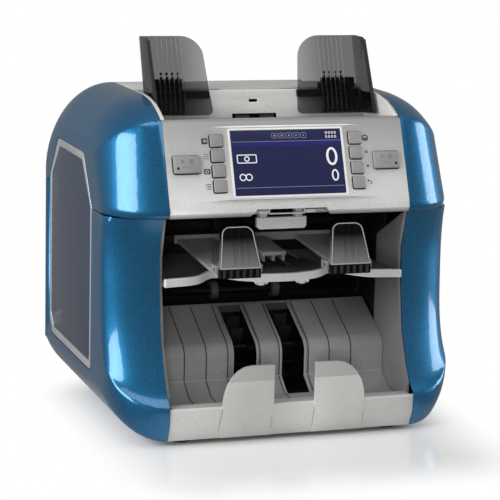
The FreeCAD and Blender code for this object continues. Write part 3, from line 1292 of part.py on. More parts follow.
# Hopper: leaning back plate with the feed opening, and two cheeks
LEAN_RUN = "tan(hopper_lean)"
HOPPER_TOP = "height - fit"
SHEET_RUN = "wall / cos(hopper_lean)"
hopper_top_y = f"{LEDGE[0]} + ({HOPPER_TOP} - ({LEDGE[1]})) * {LEAN_RUN}"
hopper_blank = prism(
    "hopper_blank", "x",
    [LEDGE, (hopper_top_y, HOPPER_TOP), (f"{hopper_top_y} + {SHEET_RUN}", HOPPER_TOP),
     (f"{LEDGE[0]} + {SHEET_RUN}", LEDGE[1])], "-panel_half + cheek", "panel_half - cheek")
hopper_depth = (f"{LEDGE[0]} - wall", f"{LEDGE[0]} + 10 * wall")
hopper_plate = cut(
    "hopper_plate", hopper_blank,
    box("feed_opening", ("-feed_half", "feed_half"), hopper_depth,
        (f"{LEDGE[1]} - wall", f"{LEDGE[1]} + feed_tall")),
    box("eye_opening", ("-eye_half", "eye_half"), hopper_depth,
        (f"{LEDGE[1]} + eye_rise", f"{LEDGE[1]} + eye_rise + eye_tall")))
ROD = (f"{FRONT} + rod_back", "rod_rise")
cheek_back = f"{ROD[0]} + 3 * rod_radius"
SLOT = f"{FRONT} + slot_back - fit"
forehead_line = [
    (f"{HEAD[0]} + {across} * forehead * top_rise", f"{HEAD[1]} + {up} * top_rise")
    for across, up in [(1, 1)] + [share[:2] for share in reversed(FOREHEAD)]]
ROD_ROOF = "rod_rise + 3 * rod_radius"
hopper_cheek = [
    RIDGE, LEDGE, (cheek_back, LEDGE[1]), (cheek_back, ROD_ROOF), (SLOT, ROD_ROOF), (SLOT, "height"),
    *forehead_line]
hopper_cheeks = []
for side, sign in SIDES:
    ends = sorted((f"{sign} * (panel_half - cheek)", f"{sign} * panel_half"), key=measure)
    hopper_cheeks.append(prism(side + "_hopper_cheek", "x", hopper_cheek, *ends))
node("hopper_tray", fuse("hopper_tray", hopper_plate, *hopper_cheeks))
node("guide_rod", rod("guide_rod", "rod_radius", ("-panel_half + cheek", "panel_half - cheek"), *ROD))

# Top cover with the hinge's upper knuckles and the pinion's stud
cover_line = [
    (f"{FRONT} + slot_back", "height"), (REAR, "height"), (REAR, UPPER_LOW), (REAR_IN, UPPER_LOW),
    (REAR_IN, "height - wall"), (f"{FRONT} + slot_back", "height - wall")]
cover_blank = prism(
    "cover_blank", "x", cover_line, "-panel_half", "panel_half", [((1,), "crown"), ((4,), "crown - wall")])
cover_shell = cut(
    "cover_shell", cover_blank, *knuckles("lower_knuckle_room", "hinge_radius + fit", "fit", False))
PINION_Y = f"{ROD[0]} + rack_back"
RACK_LOW = "rod_rise - rack_tall / 2"
RACK_TOP = "rod_rise + rack_tall / 2"
pinion_stud = rod("pinion_stud", "pinion_pin", "0", PINION_Y, (f"{RACK_LOW} - way", "height - wall"))
node("top_cover", cut(
    "top_cover",
    fuse("cover_whole", cover_shell, pinion_stud, *knuckles("upper_knuckle", "hinge_radius", "0", True)),
    *knuckles("upper_pin_bore", "hinge_pin + running", "wall", True)))

# Feed frame, rollers, motor and belt
FEED = (f"{FRONT} + feed_back", "feed_rise")
NORMAL = "(pickup_radius - pickup_poke)"
PICKUP = (
    f"{LEDGE[0]} + feed_up * sin(hopper_lean) + {NORMAL} * cos(hopper_lean)",
    f"{LEDGE[1]} + feed_up * cos(hopper_lean) - {NORMAL} * sin(hopper_lean)")
FEED_TOP = f"{LEDGE[1]} - wall - fit"
FEED_BORE = "feed_shaft + running"
frame_side = [
    (f"{FRONT} + feed_front", "feed_low"), (f"{FRONT} + feed_front", FEED_TOP),
    (f"{PICKUP[0]} - feed_shaft - wall / 2", FEED_TOP),
    (f"{PICKUP[0]} - feed_shaft - wall / 2", f"{PICKUP[1]} + feed_shaft + wall"),
    (f"{PICKUP[0]} + 2 * feed_shaft", f"{PICKUP[1]} + feed_shaft + wall"),
    (f"{PICKUP[0]} + 2 * feed_shaft", FEED_TOP),
    (f"{REAR} - feed_rear", FEED_TOP), (f"{REAR} - feed_rear", "feed_low")]
feed_pieces = [box(
    "feed_floor", ("-feed_frame_half", "feed_frame_half"), (f"{FRONT} + feed_front", f"{REAR} - feed_rear"),
    ("feed_low", "feed_low + feed_plate"))]
for side, sign in SIDES:
    ends = sorted((f"{sign} * feed_frame_half", f"{sign} * (feed_frame_half - feed_plate)"), key=measure)
    feed_pieces.append(prism(side + "_feed_side", "x", frame_side, *ends))
node("feed_frame", cut(
    "feed_frame", fuse("feed_blank", *feed_pieces),
    *[rod("feed_bore", FEED_BORE, THROUGH, *axis) for axis in (FEED, PICKUP)]))
FEED_PULLEY = around("-feed_belt_place", "belt_wide + pulley_rim")
node("feed_rollers", group(
    "feed_rollers",
    rod("feed_rod", "feed_shaft", ("-feed_frame_half", "feed_frame_half + feed_motor_long - wall"), *FEED),
    *wheels("_feed_roller", "feed_radius", "feed_place", "feed_wide", FEED, FEED_BORE),
    sleeve("feed_disc", "feed_pulley", FEED_BORE, FEED_PULLEY, FEED)))
node("pickup_rollers", group(
    "pickup_rollers", rod("pickup_rod", "feed_shaft", ("-feed_frame_half", "feed_frame_half"), *PICKUP),
    *wheels("_pickup_roller", "pickup_radius", "pickup_place", "pickup_wide", PICKUP, FEED_BORE),
    sleeve("pickup_disc", "feed_pulley", FEED_BORE, FEED_PULLEY, PICKUP)))
node("feed_motor", sleeve(
    "feed_motor", "feed_motor_radius", FEED_BORE,
    ("feed_frame_half", "feed_frame_half + feed_motor_long"), FEED))
node("feed_belt", feature("feed_belt", belt_solid(
    place(FEED), S.feed_pulley, place(PICKUP), S.feed_pulley,
    -S.feed_belt_place - S.belt_wide / 2, -S.feed_belt_place + S.belt_wide / 2)))

# Hopper guides on carriages that run along the rod
GUIDE = (f"{FRONT} + guide_back", "guide_foot")
GUIDE_TOP = (f"{GUIDE[0]} + guide_tall * sin(guide_lean)", f"{GUIDE[1]} + guide_tall * cos(guide_lean)")
guide_side = [
    GUIDE, GUIDE_TOP, (f"{GUIDE_TOP[0]} - guide_deep", GUIDE_TOP[1]),
    (f"{GUIDE[0]} - guide_sole", f"{GUIDE[1]} + wall")]


def lean_place(item, along, out):
    """Leans an object back with the guides; its origin goes up and back along the guide."""
    item.Placement = Placement(Vector(), Rotation(Vector(1, 0, 0), -S.guide_lean))
    item.setExpression("Placement.Base.y", bound(
        f"{GUIDE[0]} + ({along}) * sin(guide_lean) + ({out}) * cos(guide_lean)"))
    item.setExpression("Placement.Base.z", bound(
        f"{GUIDE[1]} + ({along}) * cos(guide_lean) - ({out}) * sin(guide_lean)"))


for side, sign in SIDES:
    inner, outer = f"{sign} * guide_inner", f"{sign} * guide_half"
    back = prism(
        side + "_guide_back", "y",
        [(inner, "0"), (outer, "0"), (outer, "guide_tall"),
         (f"{inner} + {sign} * guide_taper", "guide_tall")],
        "0", "guide_wall", [((3,), "guide_round"), ((0,), "2 * guide_wall")])
    lean_place(back, "0", "0")
    ends = sorted((f"{sign} * (guide_half - guide_wall)", outer), key=measure)
    side_wall = prism(side + "_guide_side", "x", guide_side, *ends, [((2,), "guide_bend")])
    node(side + "_guide", fuse(side + "_guide", back, side_wall))


def rack_teeth(line, face, low, high):
    """Outline of a toothed bar seen from above; a tooth gap is at X = 0."""
    pitch = math.pi * S.rack_module
    slope = math.tan(math.radians(20))
    tip = 0.85 * S.rack_module
    root = 1.2 * S.rack_module
    half = pitch / 4 - 0.1 * S.rack_module
    edge = [(low, line - face * root)]
    first = math.ceil((low + pitch) / pitch)
    last = math.floor((high - pitch) / pitch)
    for number in range(first, last + 1):
        middle = (number - 0.5) * pitch
        for offset, level in (
                (-half - root * slope, -root), (-half + tip * slope, tip),
                (half - tip * slope, tip), (half + root * slope, -root)):
            edge.append((middle + offset, line + face * level))
    edge.append((high, line - face * root))
    back = line - face * (root + S.wall)
    edge += [(high, back), (low, back)]
    corners = [Vector(x, y, 0) for x, y in edge]
    return Part.makePolygon(corners + corners[:1])


NECK_FRONT = f"{hopper_top_y} + {SHEET_RUN} + fit"
NECK_BACK = f"{SLOT} - wall / 2"
BRIDGE_TOP = "height + 1.5 * wall"
BRIDGE_FRONT = (
    f"{GUIDE[0]} + ({BRIDGE_TOP} - {GUIDE[1]}) * tan(guide_lean) + guide_wall / cos(guide_lean) + running")
pinion_y = measure(PINION_Y)
pinion_radius = S.rack_module * S.rack_teeth / 2
rack_low = measure(RACK_LOW)
for side, sign in SIDES:
    middle = f"{sign} * carriage_place"
    across = around(middle, "2 * carriage_half")
    block_back = f"{ROD[0]} + rod_radius + wall"
    block = box(
        side + "_block", across, (NECK_FRONT, block_back),
        ("rod_rise - rod_radius - way", "rod_rise + 2 * rod_radius"))
    neck = box(
        side + "_neck", across, (NECK_FRONT, NECK_BACK), ("rod_rise + rod_radius", BRIDGE_TOP))
    bridge = box(
        side + "_bridge", across, (BRIDGE_FRONT, NECK_BACK), ("height + 2 * fit", BRIDGE_TOP))
    rest = doc.addObject("Part::Box", side + "_rest")
    rest.setExpression("Length", bound("2 * carriage_half"))
    rest.setExpression("Width", bound("1.2 * wall"))
    rest.setExpression("Height", bound("2 * wall"))
    lean_place(rest, "rest_up", "guide_wall")
    rest.setExpression("Placement.Base.x", bound(across[0]))
    bore = rod(side + "_rod_bore", "rod_radius + running", THROUGH, *ROD)
    solid = cut(side + "_slider", fuse(side + "_slider_blank", block, neck, bridge, rest), bore)
    ends = sorted((-sign * S.rack_reach, sign * S.carriage_place))
    line = rack_teeth(pinion_y + sign * pinion_radius, -sign, *ends)
    bar = Part.Face(line).extrude(Vector(0, 0, S.rack_tall))
    bar.translate(Vector(0, 0, rack_low))
    rack = feature(side + "_rack", bar)
    if sign < 0:
        link_end = f"{PINION_Y} - rack_module * rack_teeth / 2 - 2 * rack_module"
    else:
        link_end = f"{PINION_Y} + rack_module * rack_teeth / 2 + 2 * rack_module + wall / 2"
    link = box(
        side + "_link", around(f"{sign} * (carriage_place + carriage_half - 2 * wall)", "4 * wall"),
        (block_back, link_end), (RACK_LOW, RACK_TOP))
    node(side + "_carriage", fuse(side + "_carriage", solid, rack, link))

pinion_ring = tooth_ring(S.rack_teeth, S.rack_module, math.pi)
pinion_ring.rotate(Vector(), Vector(0, 1, 0), -90)
pinion_disc = Part.Face(pinion_ring).extrude(Vector(0, 0, S.rack_tall))
pinion_bore = Part.makeCylinder(S.pinion_pin + S.running, S.rack_tall)
pinion = pinion_disc.cut(pinion_bore)
pinion.translate(Vector(0, pinion_y, rack_low))
node("guide_pinion", feature("guide_pinion", pinion))


def finish():
    """Stops at any failed object, then writes each sub-part."""
    doc.recompute()
    for item in doc.Objects:
        if "Invalid" in item.State or "Error" in item.State:
            raise RuntimeError(f"{item.Label} failed: {item.State}")
    os.makedirs("parts", exist_ok=True)
    for name, item in NODES.items():
        if item.Shape.isNull() or not item.Shape.isValid():
            raise RuntimeError(f"{name} has no valid shape")
        item.Shape.exportStep(f"parts/{name}.step")


finish()
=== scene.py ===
import json
import math

import bmesh
import bpy
from mathutils import Matrix, Vector


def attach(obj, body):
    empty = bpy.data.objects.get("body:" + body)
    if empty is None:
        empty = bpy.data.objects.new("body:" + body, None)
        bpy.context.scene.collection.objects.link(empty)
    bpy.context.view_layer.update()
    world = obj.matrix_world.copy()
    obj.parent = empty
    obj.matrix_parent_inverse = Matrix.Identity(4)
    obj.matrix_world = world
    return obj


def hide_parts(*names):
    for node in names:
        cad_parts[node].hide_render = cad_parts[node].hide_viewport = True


# Banknote counting machine: blue flake covers, silver control panel, smoked guides, two note pockets.

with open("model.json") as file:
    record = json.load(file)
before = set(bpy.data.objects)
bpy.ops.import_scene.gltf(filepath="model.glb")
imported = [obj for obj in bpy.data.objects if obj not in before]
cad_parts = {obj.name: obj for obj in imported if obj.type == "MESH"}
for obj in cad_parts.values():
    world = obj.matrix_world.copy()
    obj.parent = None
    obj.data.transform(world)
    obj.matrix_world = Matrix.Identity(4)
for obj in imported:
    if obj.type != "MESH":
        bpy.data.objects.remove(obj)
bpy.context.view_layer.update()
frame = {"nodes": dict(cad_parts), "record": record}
NODES = frame["nodes"]
BODY_OF = {node: body for body, nodes in frame["record"]["behaviour"]["bodies"].items() for node in nodes}
scene = bpy.context.scene
scene.view_settings.view_transform = "Standard"
MM = 0.001
SHARP = math.radians(38)        # edges that stay sharp in the shading
CORNER = math.radians(40)       # edges that are rounded
NEARLY_FLAT = math.radians(0.6)
SAME_PLACE = 2e-6               # corners nearer than this are one

# The tilted plane of the control panel: centre of the display, up along the panel, out of it.
TILT = math.radians(22.4)
PANEL_CENTRE = Vector((0.0, -0.107, 0.2256))
PANEL_UP = Vector((0.0, math.sin(TILT), math.cos(TILT)))
PANEL_OUT = Vector((0.0, -math.cos(TILT), math.sin(TILT)))


def on_panel(across, along, out):
    """A point of the control panel, sizes in millimetres."""
    return PANEL_CENTRE + Vector((across * MM, 0, 0)) + PANEL_UP * (along * MM) + PANEL_OUT * (out * MM)


# ---------------------------------------------------------------- shared surface effects

def effect(name, inputs, outputs):
    """An empty shader group with named float inputs and outputs."""
    group = bpy.data.node_groups.new(name, "ShaderNodeTree")
    for label, value in inputs:
        socket = group.interface.new_socket(label, in_out="INPUT", socket_type="NodeSocketFloat")
        socket.default_value = value
    for label in outputs:
        group.interface.new_socket(label, in_out="OUTPUT", socket_type="NodeSocketFloat")
    enter = group.nodes.new("NodeGroupInput")
    leave = group.nodes.new("NodeGroupOutput")
    place = group.nodes.new("ShaderNodeTexCoord")
    return group, enter, leave, place


def moulded_grain():
    """Fine spark-eroded grain of moulded plastic, with a slow variation in shade."""
    group, enter, leave, place = effect("moulded grain", [("Scale", 1800.0), ("Spread", 0.08)], ["Height", "Shade"])
    links = group.links
    fine = group.nodes.new("ShaderNodeTexNoise")
    fine.inputs["Detail"].default_value = 3.0
    slow = group.nodes.new("ShaderNodeTexNoise")
    slow.inputs["Scale"].default_value = 14.0
    shade = group.nodes.new("ShaderNodeMath")
    shade.operation = "MULTIPLY"
    speck = group.nodes.new("ShaderNodeMath")
    speck.operation = "ADD"
    links.new(place.outputs["Object"], fine.inputs["Vector"])
    links.new(enter.outputs["Scale"], fine.inputs["Scale"])
    links.new(place.outputs["Object"], slow.inputs["Vector"])
    links.new(fine.outputs["Fac"], speck.inputs[0])
    links.new(slow.outputs["Fac"], speck.inputs[1])
    links.new(speck.outputs[0], shade.inputs[0])
    links.new(enter.outputs["Spread"], shade.inputs[1])
    contrast = group.nodes.new("ShaderNodeMapRange")
    contrast.inputs["From Min"].default_value = 0.36
    contrast.inputs["From Max"].default_value = 0.64
    links.new(shade.outputs[0], contrast.inputs["Value"])
    links.new(fine.outputs["Fac"], leave.inputs["Height"])
    links.new(contrast.outputs["Result"], leave.inputs["Shade"])
    return group


def paint_flake():
    """Metal flakes in lacquer: small cells, each a little lighter or darker."""
    group, enter, leave, place = effect("paint flake", [("Scale", 2400.0), ("Amount", 0.5)], ["Fleck", "Drift"])
    links = group.links
    cells = group.nodes.new("ShaderNodeTexVoronoi")
    lone = group.nodes.new("ShaderNodeSeparateColor")
    lift = group.nodes.new("ShaderNodeMath")
    lift.operation = "MULTIPLY"
    drift = group.nodes.new("ShaderNodeTexNoise")
    drift.inputs["Scale"].default_value = 6.0
    links.new(place.outputs["Object"], cells.inputs["Vector"])
    links.new(enter.outputs["Scale"], cells.inputs["Scale"])
    links.new(cells.outputs["Color"], lone.inputs["Color"])
    links.new(lone.outputs["Red"], lift.inputs[0])
    links.new(enter.outputs["Amount"], lift.inputs[1])
    links.new(place.outputs["Object"], drift.inputs["Vector"])
    links.new(lift.outputs[0], leave.inputs["Fleck"])
    links.new(drift.outputs["Fac"], leave.inputs["Drift"])
    return group


GRAIN = moulded_grain()
FLAKE = paint_flake()


def linear(code):
    """A colour written as a web code, as the linear values that shaders use."""
    parts = [int(code[i:i + 2], 16) / 255 for i in (1, 3, 5)]
    return tuple(p / 12.92 if p <= 0.04045 else ((p + 0.055) / 1.055) ** 2.4 for p in parts) + (1.0,)


def fresh(name):
    """A new node material and its Principled shader."""
    material = bpy.data.materials.new(name)
    material.use_nodes = True
    return material, material.node_tree.nodes["Principled BSDF"]


def group_node(material, group, **values):
    """An effect in a material, with its inputs set."""
    node = material.node_tree.nodes.new("ShaderNodeGroup")
    node.node_tree = group
    for label, value in values.items():
        node.inputs[label].default_value = value
    return node


def ramp(material, mask, low, high):
    """Colour that goes from one value to another with a mask."""
    mix = material.node_tree.nodes.new("ShaderNodeMix")
    mix.data_type = "RGBA"
    mix.inputs["A"].default_value = low
    mix.inputs["B"].default_value = high
    material.node_tree.links.new(mask, mix.inputs["Factor"])
    return mix.outputs["Result"]


def spread(material, mask, low, high):
    """A number that goes from one value to another with a mask."""
    change = material.node_tree.nodes.new("ShaderNodeMapRange")
    change.inputs["To Min"].default_value = low
    change.inputs["To Max"].default_value = high
    material.node_tree.links.new(mask, change.inputs["Value"])
    return change.outputs["Result"]


def bump(material, shader, height, strength, distance):
    """Raises a shader's surface with a height."""
    node = material.node_tree.nodes.new("ShaderNodeBump")
    node.inputs["Strength"].default_value = strength
    node.inputs["Distance"].default_value = distance
    material.node_tree.links.new(height, node.inputs["Height"])
    material.node_tree.links.new(node.outputs["Normal"], shader.inputs["Normal"])


def tinted(material, mask, tint):
    """Lays another colour over a material's base colour where a mask says so."""
    tree = material.node_tree
    base = tree.nodes["Principled BSDF"].inputs["Base Color"]
    mix = tree.nodes.new("ShaderNodeMix")
    mix.data_type = "RGBA"
    mix.inputs["B"].default_value = linear(tint)
    tree.links.new(mask, mix.inputs["Factor"])
    tree.links.new(base.links[0].from_socket, mix.inputs["A"])
    tree.links.new(mix.outputs["Result"], base)


def plastic(name, low, high, rough, scale=1000.0, strength=0.12, metallic=0.0, edge=None):
    """Moulded plastic with its own grain, and a painted highlight on rounded edges where they are marked."""
    material, shader = fresh(name)
    grain = group_node(material, GRAIN, Scale=scale, Spread=0.5)
    links = material.node_tree.links
    links.new(ramp(material, grain.outputs["Shade"], linear(low), linear(high)), shader.inputs["Base Color"])
    links.new(spread(material, grain.outputs["Shade"], rough - 0.06, rough + 0.06), shader.inputs["Roughness"])
    shader.inputs["Metallic"].default_value = metallic
    bump(material, shader, grain.outputs["Height"], strength, 0.0002)
    # The paler colour on rounded edges is a painted highlight.
    if edge:
        rounded = material.node_tree.nodes.new("ShaderNodeAttribute")
        rounded.attribute_name = "rounded"
        tinted(material, rounded.outputs["Fac"], edge)
    return material


def flake_paint(name, dark, light, rough, metallic, coat):
    """Flake lacquer under a clear coat."""
    material, shader = fresh(name)
    flake = group_node(material, FLAKE, Scale=2600.0, Amount=0.75)
    links = material.node_tree.links
    links.new(ramp(material, flake.outputs["Fleck"], linear(dark), linear(light)), shader.inputs["Base Color"])
    links.new(spread(material, flake.outputs["Drift"], rough - 0.04, rough + 0.04), shader.inputs["Roughness"])
    shader.inputs["Metallic"].default_value = metallic
    shader.inputs["Coat Weight"].default_value = coat
    shader.inputs["Coat Roughness"].default_value = 0.09
    return material


def fade():
    """How far a point has gone up between two heights, and out between two places on either side."""
    group, enter, leave, place = effect(
        "fade", [("Low", 0.0), ("High", 0.1), ("Inner", 0.0), ("Outer", 0.1)], ["Rise", "Reach"])
    links = group.links
    parts = group.nodes.new("ShaderNodeSeparateXYZ")
    away = group.nodes.new("ShaderNodeMath")
    away.operation = "ABSOLUTE"
    links.new(place.outputs["Object"], parts.inputs[0])
    links.new(parts.outputs["X"], away.inputs[0])
    for source, low, high, label in (
            (parts.outputs["Z"], "Low", "High", "Rise"), (away.outputs[0], "Inner", "Outer", "Reach")):
        change = group.nodes.new("ShaderNodeMapRange")
        links.new(source, change.inputs["Value"])
        links.new(enter.outputs[low], change.inputs["From Min"])
        links.new(enter.outputs[high], change.inputs["From Max"])
        links.new(change.outputs["Result"], leave.inputs[label])
    return group


FADE = fade()


def smoked(name, inner, outer, places, rough):
    """Clear smoked acrylic, darker towards its outer side."""
    material, shader = fresh(name)
    spread_out = group_node(material, FADE, Inner=places[0], Outer=places[1])
    grain = group_node(material, GRAIN, Scale=90.0, Spread=0.5)
    links = material.node_tree.links
    shade = ramp(material, spread_out.outputs["Reach"], linear(inner), linear(outer))
    links.new(shade, shader.inputs["Base Color"])
    links.new(spread(material, grain.outputs["Shade"], rough, rough + 0.05), shader.inputs["Roughness"])
    shader.inputs["Transmission Weight"].default_value = 1.0
    shader.inputs["IOR"].default_value = 1.2
    return material


def with_height(material, low, high, tint):
    """Lets a material go over into another colour between two heights."""
    rise = group_node(material, FADE, Low=low, High=high)
    tinted(material, rise.outputs["Rise"], tint)


def with_reach(material, inner, outer, tint):
    """Lets a material go over into another colour between two places on either side."""
    reach = group_node(material, FADE, Inner=inner, Outer=outer)
    tinted(material, reach.outputs["Reach"], tint)


def stopper_plastic(name, low, high, heights):
    """Dark plastic that is paler towards its fold."""
    material, shader = fresh(name)
    rise = group_node(material, FADE, Low=heights[0], High=heights[1])
    grain = group_node(material, GRAIN, Scale=500.0, Spread=0.5)
    links = material.node_tree.links
    links.new(ramp(material, rise.outputs["Rise"], linear(low), linear(high)), shader.inputs["Base Color"])
    links.new(spread(material, grain.outputs["Shade"], 0.26, 0.34), shader.inputs["Roughness"])
    shader.inputs["Specular IOR Level"].default_value = 0.12
    bump(material, shader, grain.outputs["Height"], 0.03, 0.0002)
    return material


def glow(name, colour, strength):
    """A lit part of the display."""
    material, shader = fresh(name)
    grain = group_node(material, GRAIN, Scale=4000.0, Spread=0.5)
    links = material.node_tree.links
    dim = tuple(0.9 * value for value in linear(colour)[:3]) + (1.0,)
    picture = ramp(material, grain.outputs["Shade"], dim, linear(colour))
    links.new(picture, shader.inputs["Emission Color"])
    shader.inputs["Base Color"].default_value = (0.004, 0.004, 0.006, 1)
    shader.inputs["Emission Strength"].default_value = strength
    shader.inputs["Roughness"].default_value = 0.2
    return material


# Places where a painted shade begins and ends, in metres: heights, or distances from the middle.
PANEL_TOP_SHADE, PANEL_LIP_SHADE = (0.200, 0.262), (0.1885, 0.1835)
TAB_TOP_SHADE = (0.0518, 0.0522)
ROLLER_ENDS, ROLLER_STARTS = (0.0312, 0.0316), (0.0248, 0.0244)
ARM_ENDS = (0.0705, 0.0715)
GUIDE_PLATE, GUIDE_FIN, GUIDE_REST = (0.042, 0.066), (0.0940, 0.0948), (0.2860, 0.2810)
STOPPER_SHADE, STOPPER_FOOT = (0.146, 0.168), (0.1446, 0.1442)

BLUE = flake_paint("blue flake paint", "#054c74", "#1282b6", 0.40, 0.8, 1.0)
# Painted shade and reflection: the side panels bear the covers' blue paint, drawn here as a dark slate copy of it.
SHADED_SIDE_PAINT = flake_paint("side panel blue paint in painted shade", "#2f3746", "#3e4757", 0.38, 0.2, 0.3)
# The edge colours given to these plastics are painted highlights on their rounded edges.
SILVER = plastic("silver grained plastic", "#b0b0ae", "#cbcbc8", 0.42, metallic=0.1, edge="#d2d2d0")
PANEL_SILVER = plastic("control panel plastic", "#b4b4b2", "#d0d0ce", 0.42, metallic=0.1)
# Painted shade on the control panel: darker towards its top, and dark on the downward-facing lip at its foot.
with_height(PANEL_SILVER, *PANEL_TOP_SHADE, "#8f8f8d")
with_height(PANEL_SILVER, *PANEL_LIP_SHADE, "#6a6a69")
PLATE_SILVER = plastic("front plate plastic", "#a9a9a6", "#c0c0bd", 0.42, metallic=0.1, edge="#e2e2e0")
# Painted shade: the tabs are darker above a height, in place of their slightly bent upper part.
with_height(PLATE_SILVER, *TAB_TOP_SHADE, "#9e9e9b")
TRIM = plastic("silver trim", "#b0b2b5", "#c8cacd", 0.3, metallic=0.6, strength=0.03)
POCKET = plastic("pocket grey plastic", "#7c7c7c", "#989898", 0.5, edge="#a4a4a4")
CHEEK = plastic("pocket cheek plastic", "#5c5c5c", "#747474", 0.5)
ROLLER = plastic("exit roller rubber", "#3e3e3e", "#525252", 0.5)
with_reach(ROLLER, *ROLLER_ENDS, "#0a0a0a")
with_reach(ROLLER, *ROLLER_STARTS, "#0a0a0a")
ARM = plastic("note arm plastic", "#6a6a6a", "#848484", 0.5, edge="#949494")
with_reach(ARM, *ARM_ENDS, "#0b0b0b")
STEP_HIGHLIGHT = plastic("step foot highlight", "#939393", "#a4a4a4", 0.45)
GROOVE = plastic("groove shade", "#303030", "#3c3c3c", 0.7)
LIGHT = plastic("light grey plastic", "#b0b0ae", "#c4c4c2", 0.45, edge="#d8d8d6")
FRAME = plastic("display frame and painted highlight", "#cacac8", "#dcdcda", 0.35, strength=0.05)
BLACK = plastic("black plastic", "#0b0b0b", "#1b1b1b", 0.42)
DARK = plastic("dark inner plastic", "#0d0d0d", "#161616", 0.7)
KEY = plastic("grey key plastic", "#7b7b7a", "#8d8d8c", 0.4, strength=0.06)
STEEL = plastic("plain steel", "#8a8c8e", "#a8aaac", 0.32, metallic=0.95, strength=0.03)
RUBBER = plastic("dark rubber", "#0d0d0d", "#1c1c1c", 0.75)
BOARD = plastic("green circuit board", "#0c3a1e", "#14502c", 0.4)
MOTOR = plastic("motor can", "#1a1b1c", "#2b2c2e", 0.4, metallic=0.4)
KEY_GAP_SHADOW = plastic("key gap and painted shadow", "#1c1c1c", "#2a2a2a", 0.6, strength=0.02)
INK = plastic("dark print", "#262626", "#323232", 0.5, strength=0.02)
FAINT = plastic("grey print and painted shade", "#6c6c6c", "#787878", 0.5, strength=0.02)
SMOKE = smoked("smoked acrylic", "#969698", "#6c6d6e", GUIDE_PLATE, 0.02)
with_reach(SMOKE, *GUIDE_FIN, "#4c4d4e")
SMOKE_RIB = plastic("acrylic rib", "#7e7f80", "#8a8b8c", 0.3, strength=0.02)
with_height(SMOKE_RIB, *GUIDE_REST, "#242425")
STOPPER = stopper_plastic("stopper plastic", "#6a6a6a", "#050505", STOPPER_SHADE)
with_height(STOPPER, *STOPPER_FOOT, "#070707")
FOOT_RIB = plastic("stopper foot rib", "#1c1c1c", "#2a2a2a", 0.4, strength=0.03)
RIM = plastic("stopper rim", "#8a8a8a", "#9a9a9a", 0.3, strength=0.03)
SCREEN = glow("display ground", "#181d46", 1.0)
SCREEN_BAR = glow("display bar", "#1e2068", 1.0)
SCREEN_LINE = glow("display line", "#8f93a6", 0.9)
SCREEN_WHITE = glow("display figure", "#f0f0f0", 1.0)

FINISH = {
    "left_lower_cover": BLUE, "right_lower_cover": BLUE, "left_upper_cover": BLUE, "right_upper_cover": BLUE,
    "top_cover": SILVER, "side_trims": TRIM, "side_panels": SHADED_SIDE_PAINT, "control_panel": PANEL_SILVER,
    "front_plate": PLATE_SILVER, "hopper_tray": SILVER, "stacker_plate": POCKET, "pocket_cheeks": CHEEK,
    "reject_shelf": CHEEK, "shelf_lip": LIGHT, "transport_wall": DARK, "note_arms": ARM, "rear_cover": BLACK,
    "rear_sockets": BLACK, "latch_handle": LIGHT, "left_carriage": BLACK, "right_carriage": BLACK,
    "guide_pinion": BLACK, "diverter_gate": DARK, "stacker_wheels": DARK, "power_switch": BLACK,
    "left_guide": SMOKE, "right_guide": SMOKE, "left_stopper": STOPPER, "right_stopper": STOPPER,
    "display_window": SCREEN, "display_module": BOARD, "main_board": BOARD, "side_frames": DARK,
    "base_plate": STEEL, "shaft_bearings": STEEL, "stacker_shaft": BLACK, "exit_rollers": ROLLER,
    "guide_rod": STEEL, "hinge_pins": STEEL, "cover_screws": STEEL, "feed_frame": DARK, "motor_pulley": STEEL,
    "reject_wheels": RUBBER, "feed_rollers": RUBBER, "pickup_rollers": RUBBER, "rubber_feet": RUBBER,
    "drive_belts": RUBBER, "feed_belt": RUBBER, "main_motor": MOTOR, "feed_motor": MOTOR, "start_key_left": KEY,
    "start_key_right": KEY,
}
FINISH.update({f"function_key_{number}": KEY for number in range(1, 9)})

# Rounding of the moulded edges, in millimetres.
ROUND = {"front_plate": 0.9, "control_panel": 0.7, "hopper_tray": 0.5, "shelf_lip": 0.6, "latch_handle": 0.8,
         "stacker_plate": 0.5, "note_arms": 0.4, "left_guide": 0.4, "right_guide": 0.4, "left_stopper": 0.5,
         "right_stopper": 0.5, "side_trims": 0.5, "side_panels": 0.4, "start_key_left": 0.8, "start_key_right": 0.8,
         "top_cover": 0.4, "reject_shelf": 0.4, "rear_cover": 0.5, "display_window": 0.3}
ROUND.update({f"function_key_{number}": 0.7 for number in range(1, 9)})


def piece(name, mesh, body, material):
    """A finished mesh as a piece that rides on a body."""
    item = bpy.data.objects.new(name, mesh)
    scene.collection.objects.link(item)
    mesh.materials.clear()
    mesh.materials.append(material)
    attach(item, body)


def settle(item):
    """Gives an item its mesh with the modifiers applied."""
    graph = bpy.context.evaluated_depsgraph_get()
    mesh = bpy.data.meshes.new_from_object(item.evaluated_get(graph))
    item.modifiers.clear()
    item.data = mesh


def mark_rounded(mesh):
    """Keeps which faces are rounded edges, as an attribute."""
    faces = [float(face.material_index == 1) for face in mesh.polygons]
    rounded = mesh.attributes.new("rounded", "FLOAT", "FACE")
    rounded.data.foreach_set("value", faces)
    mesh.polygons.foreach_set("material_index", [0] * len(faces))


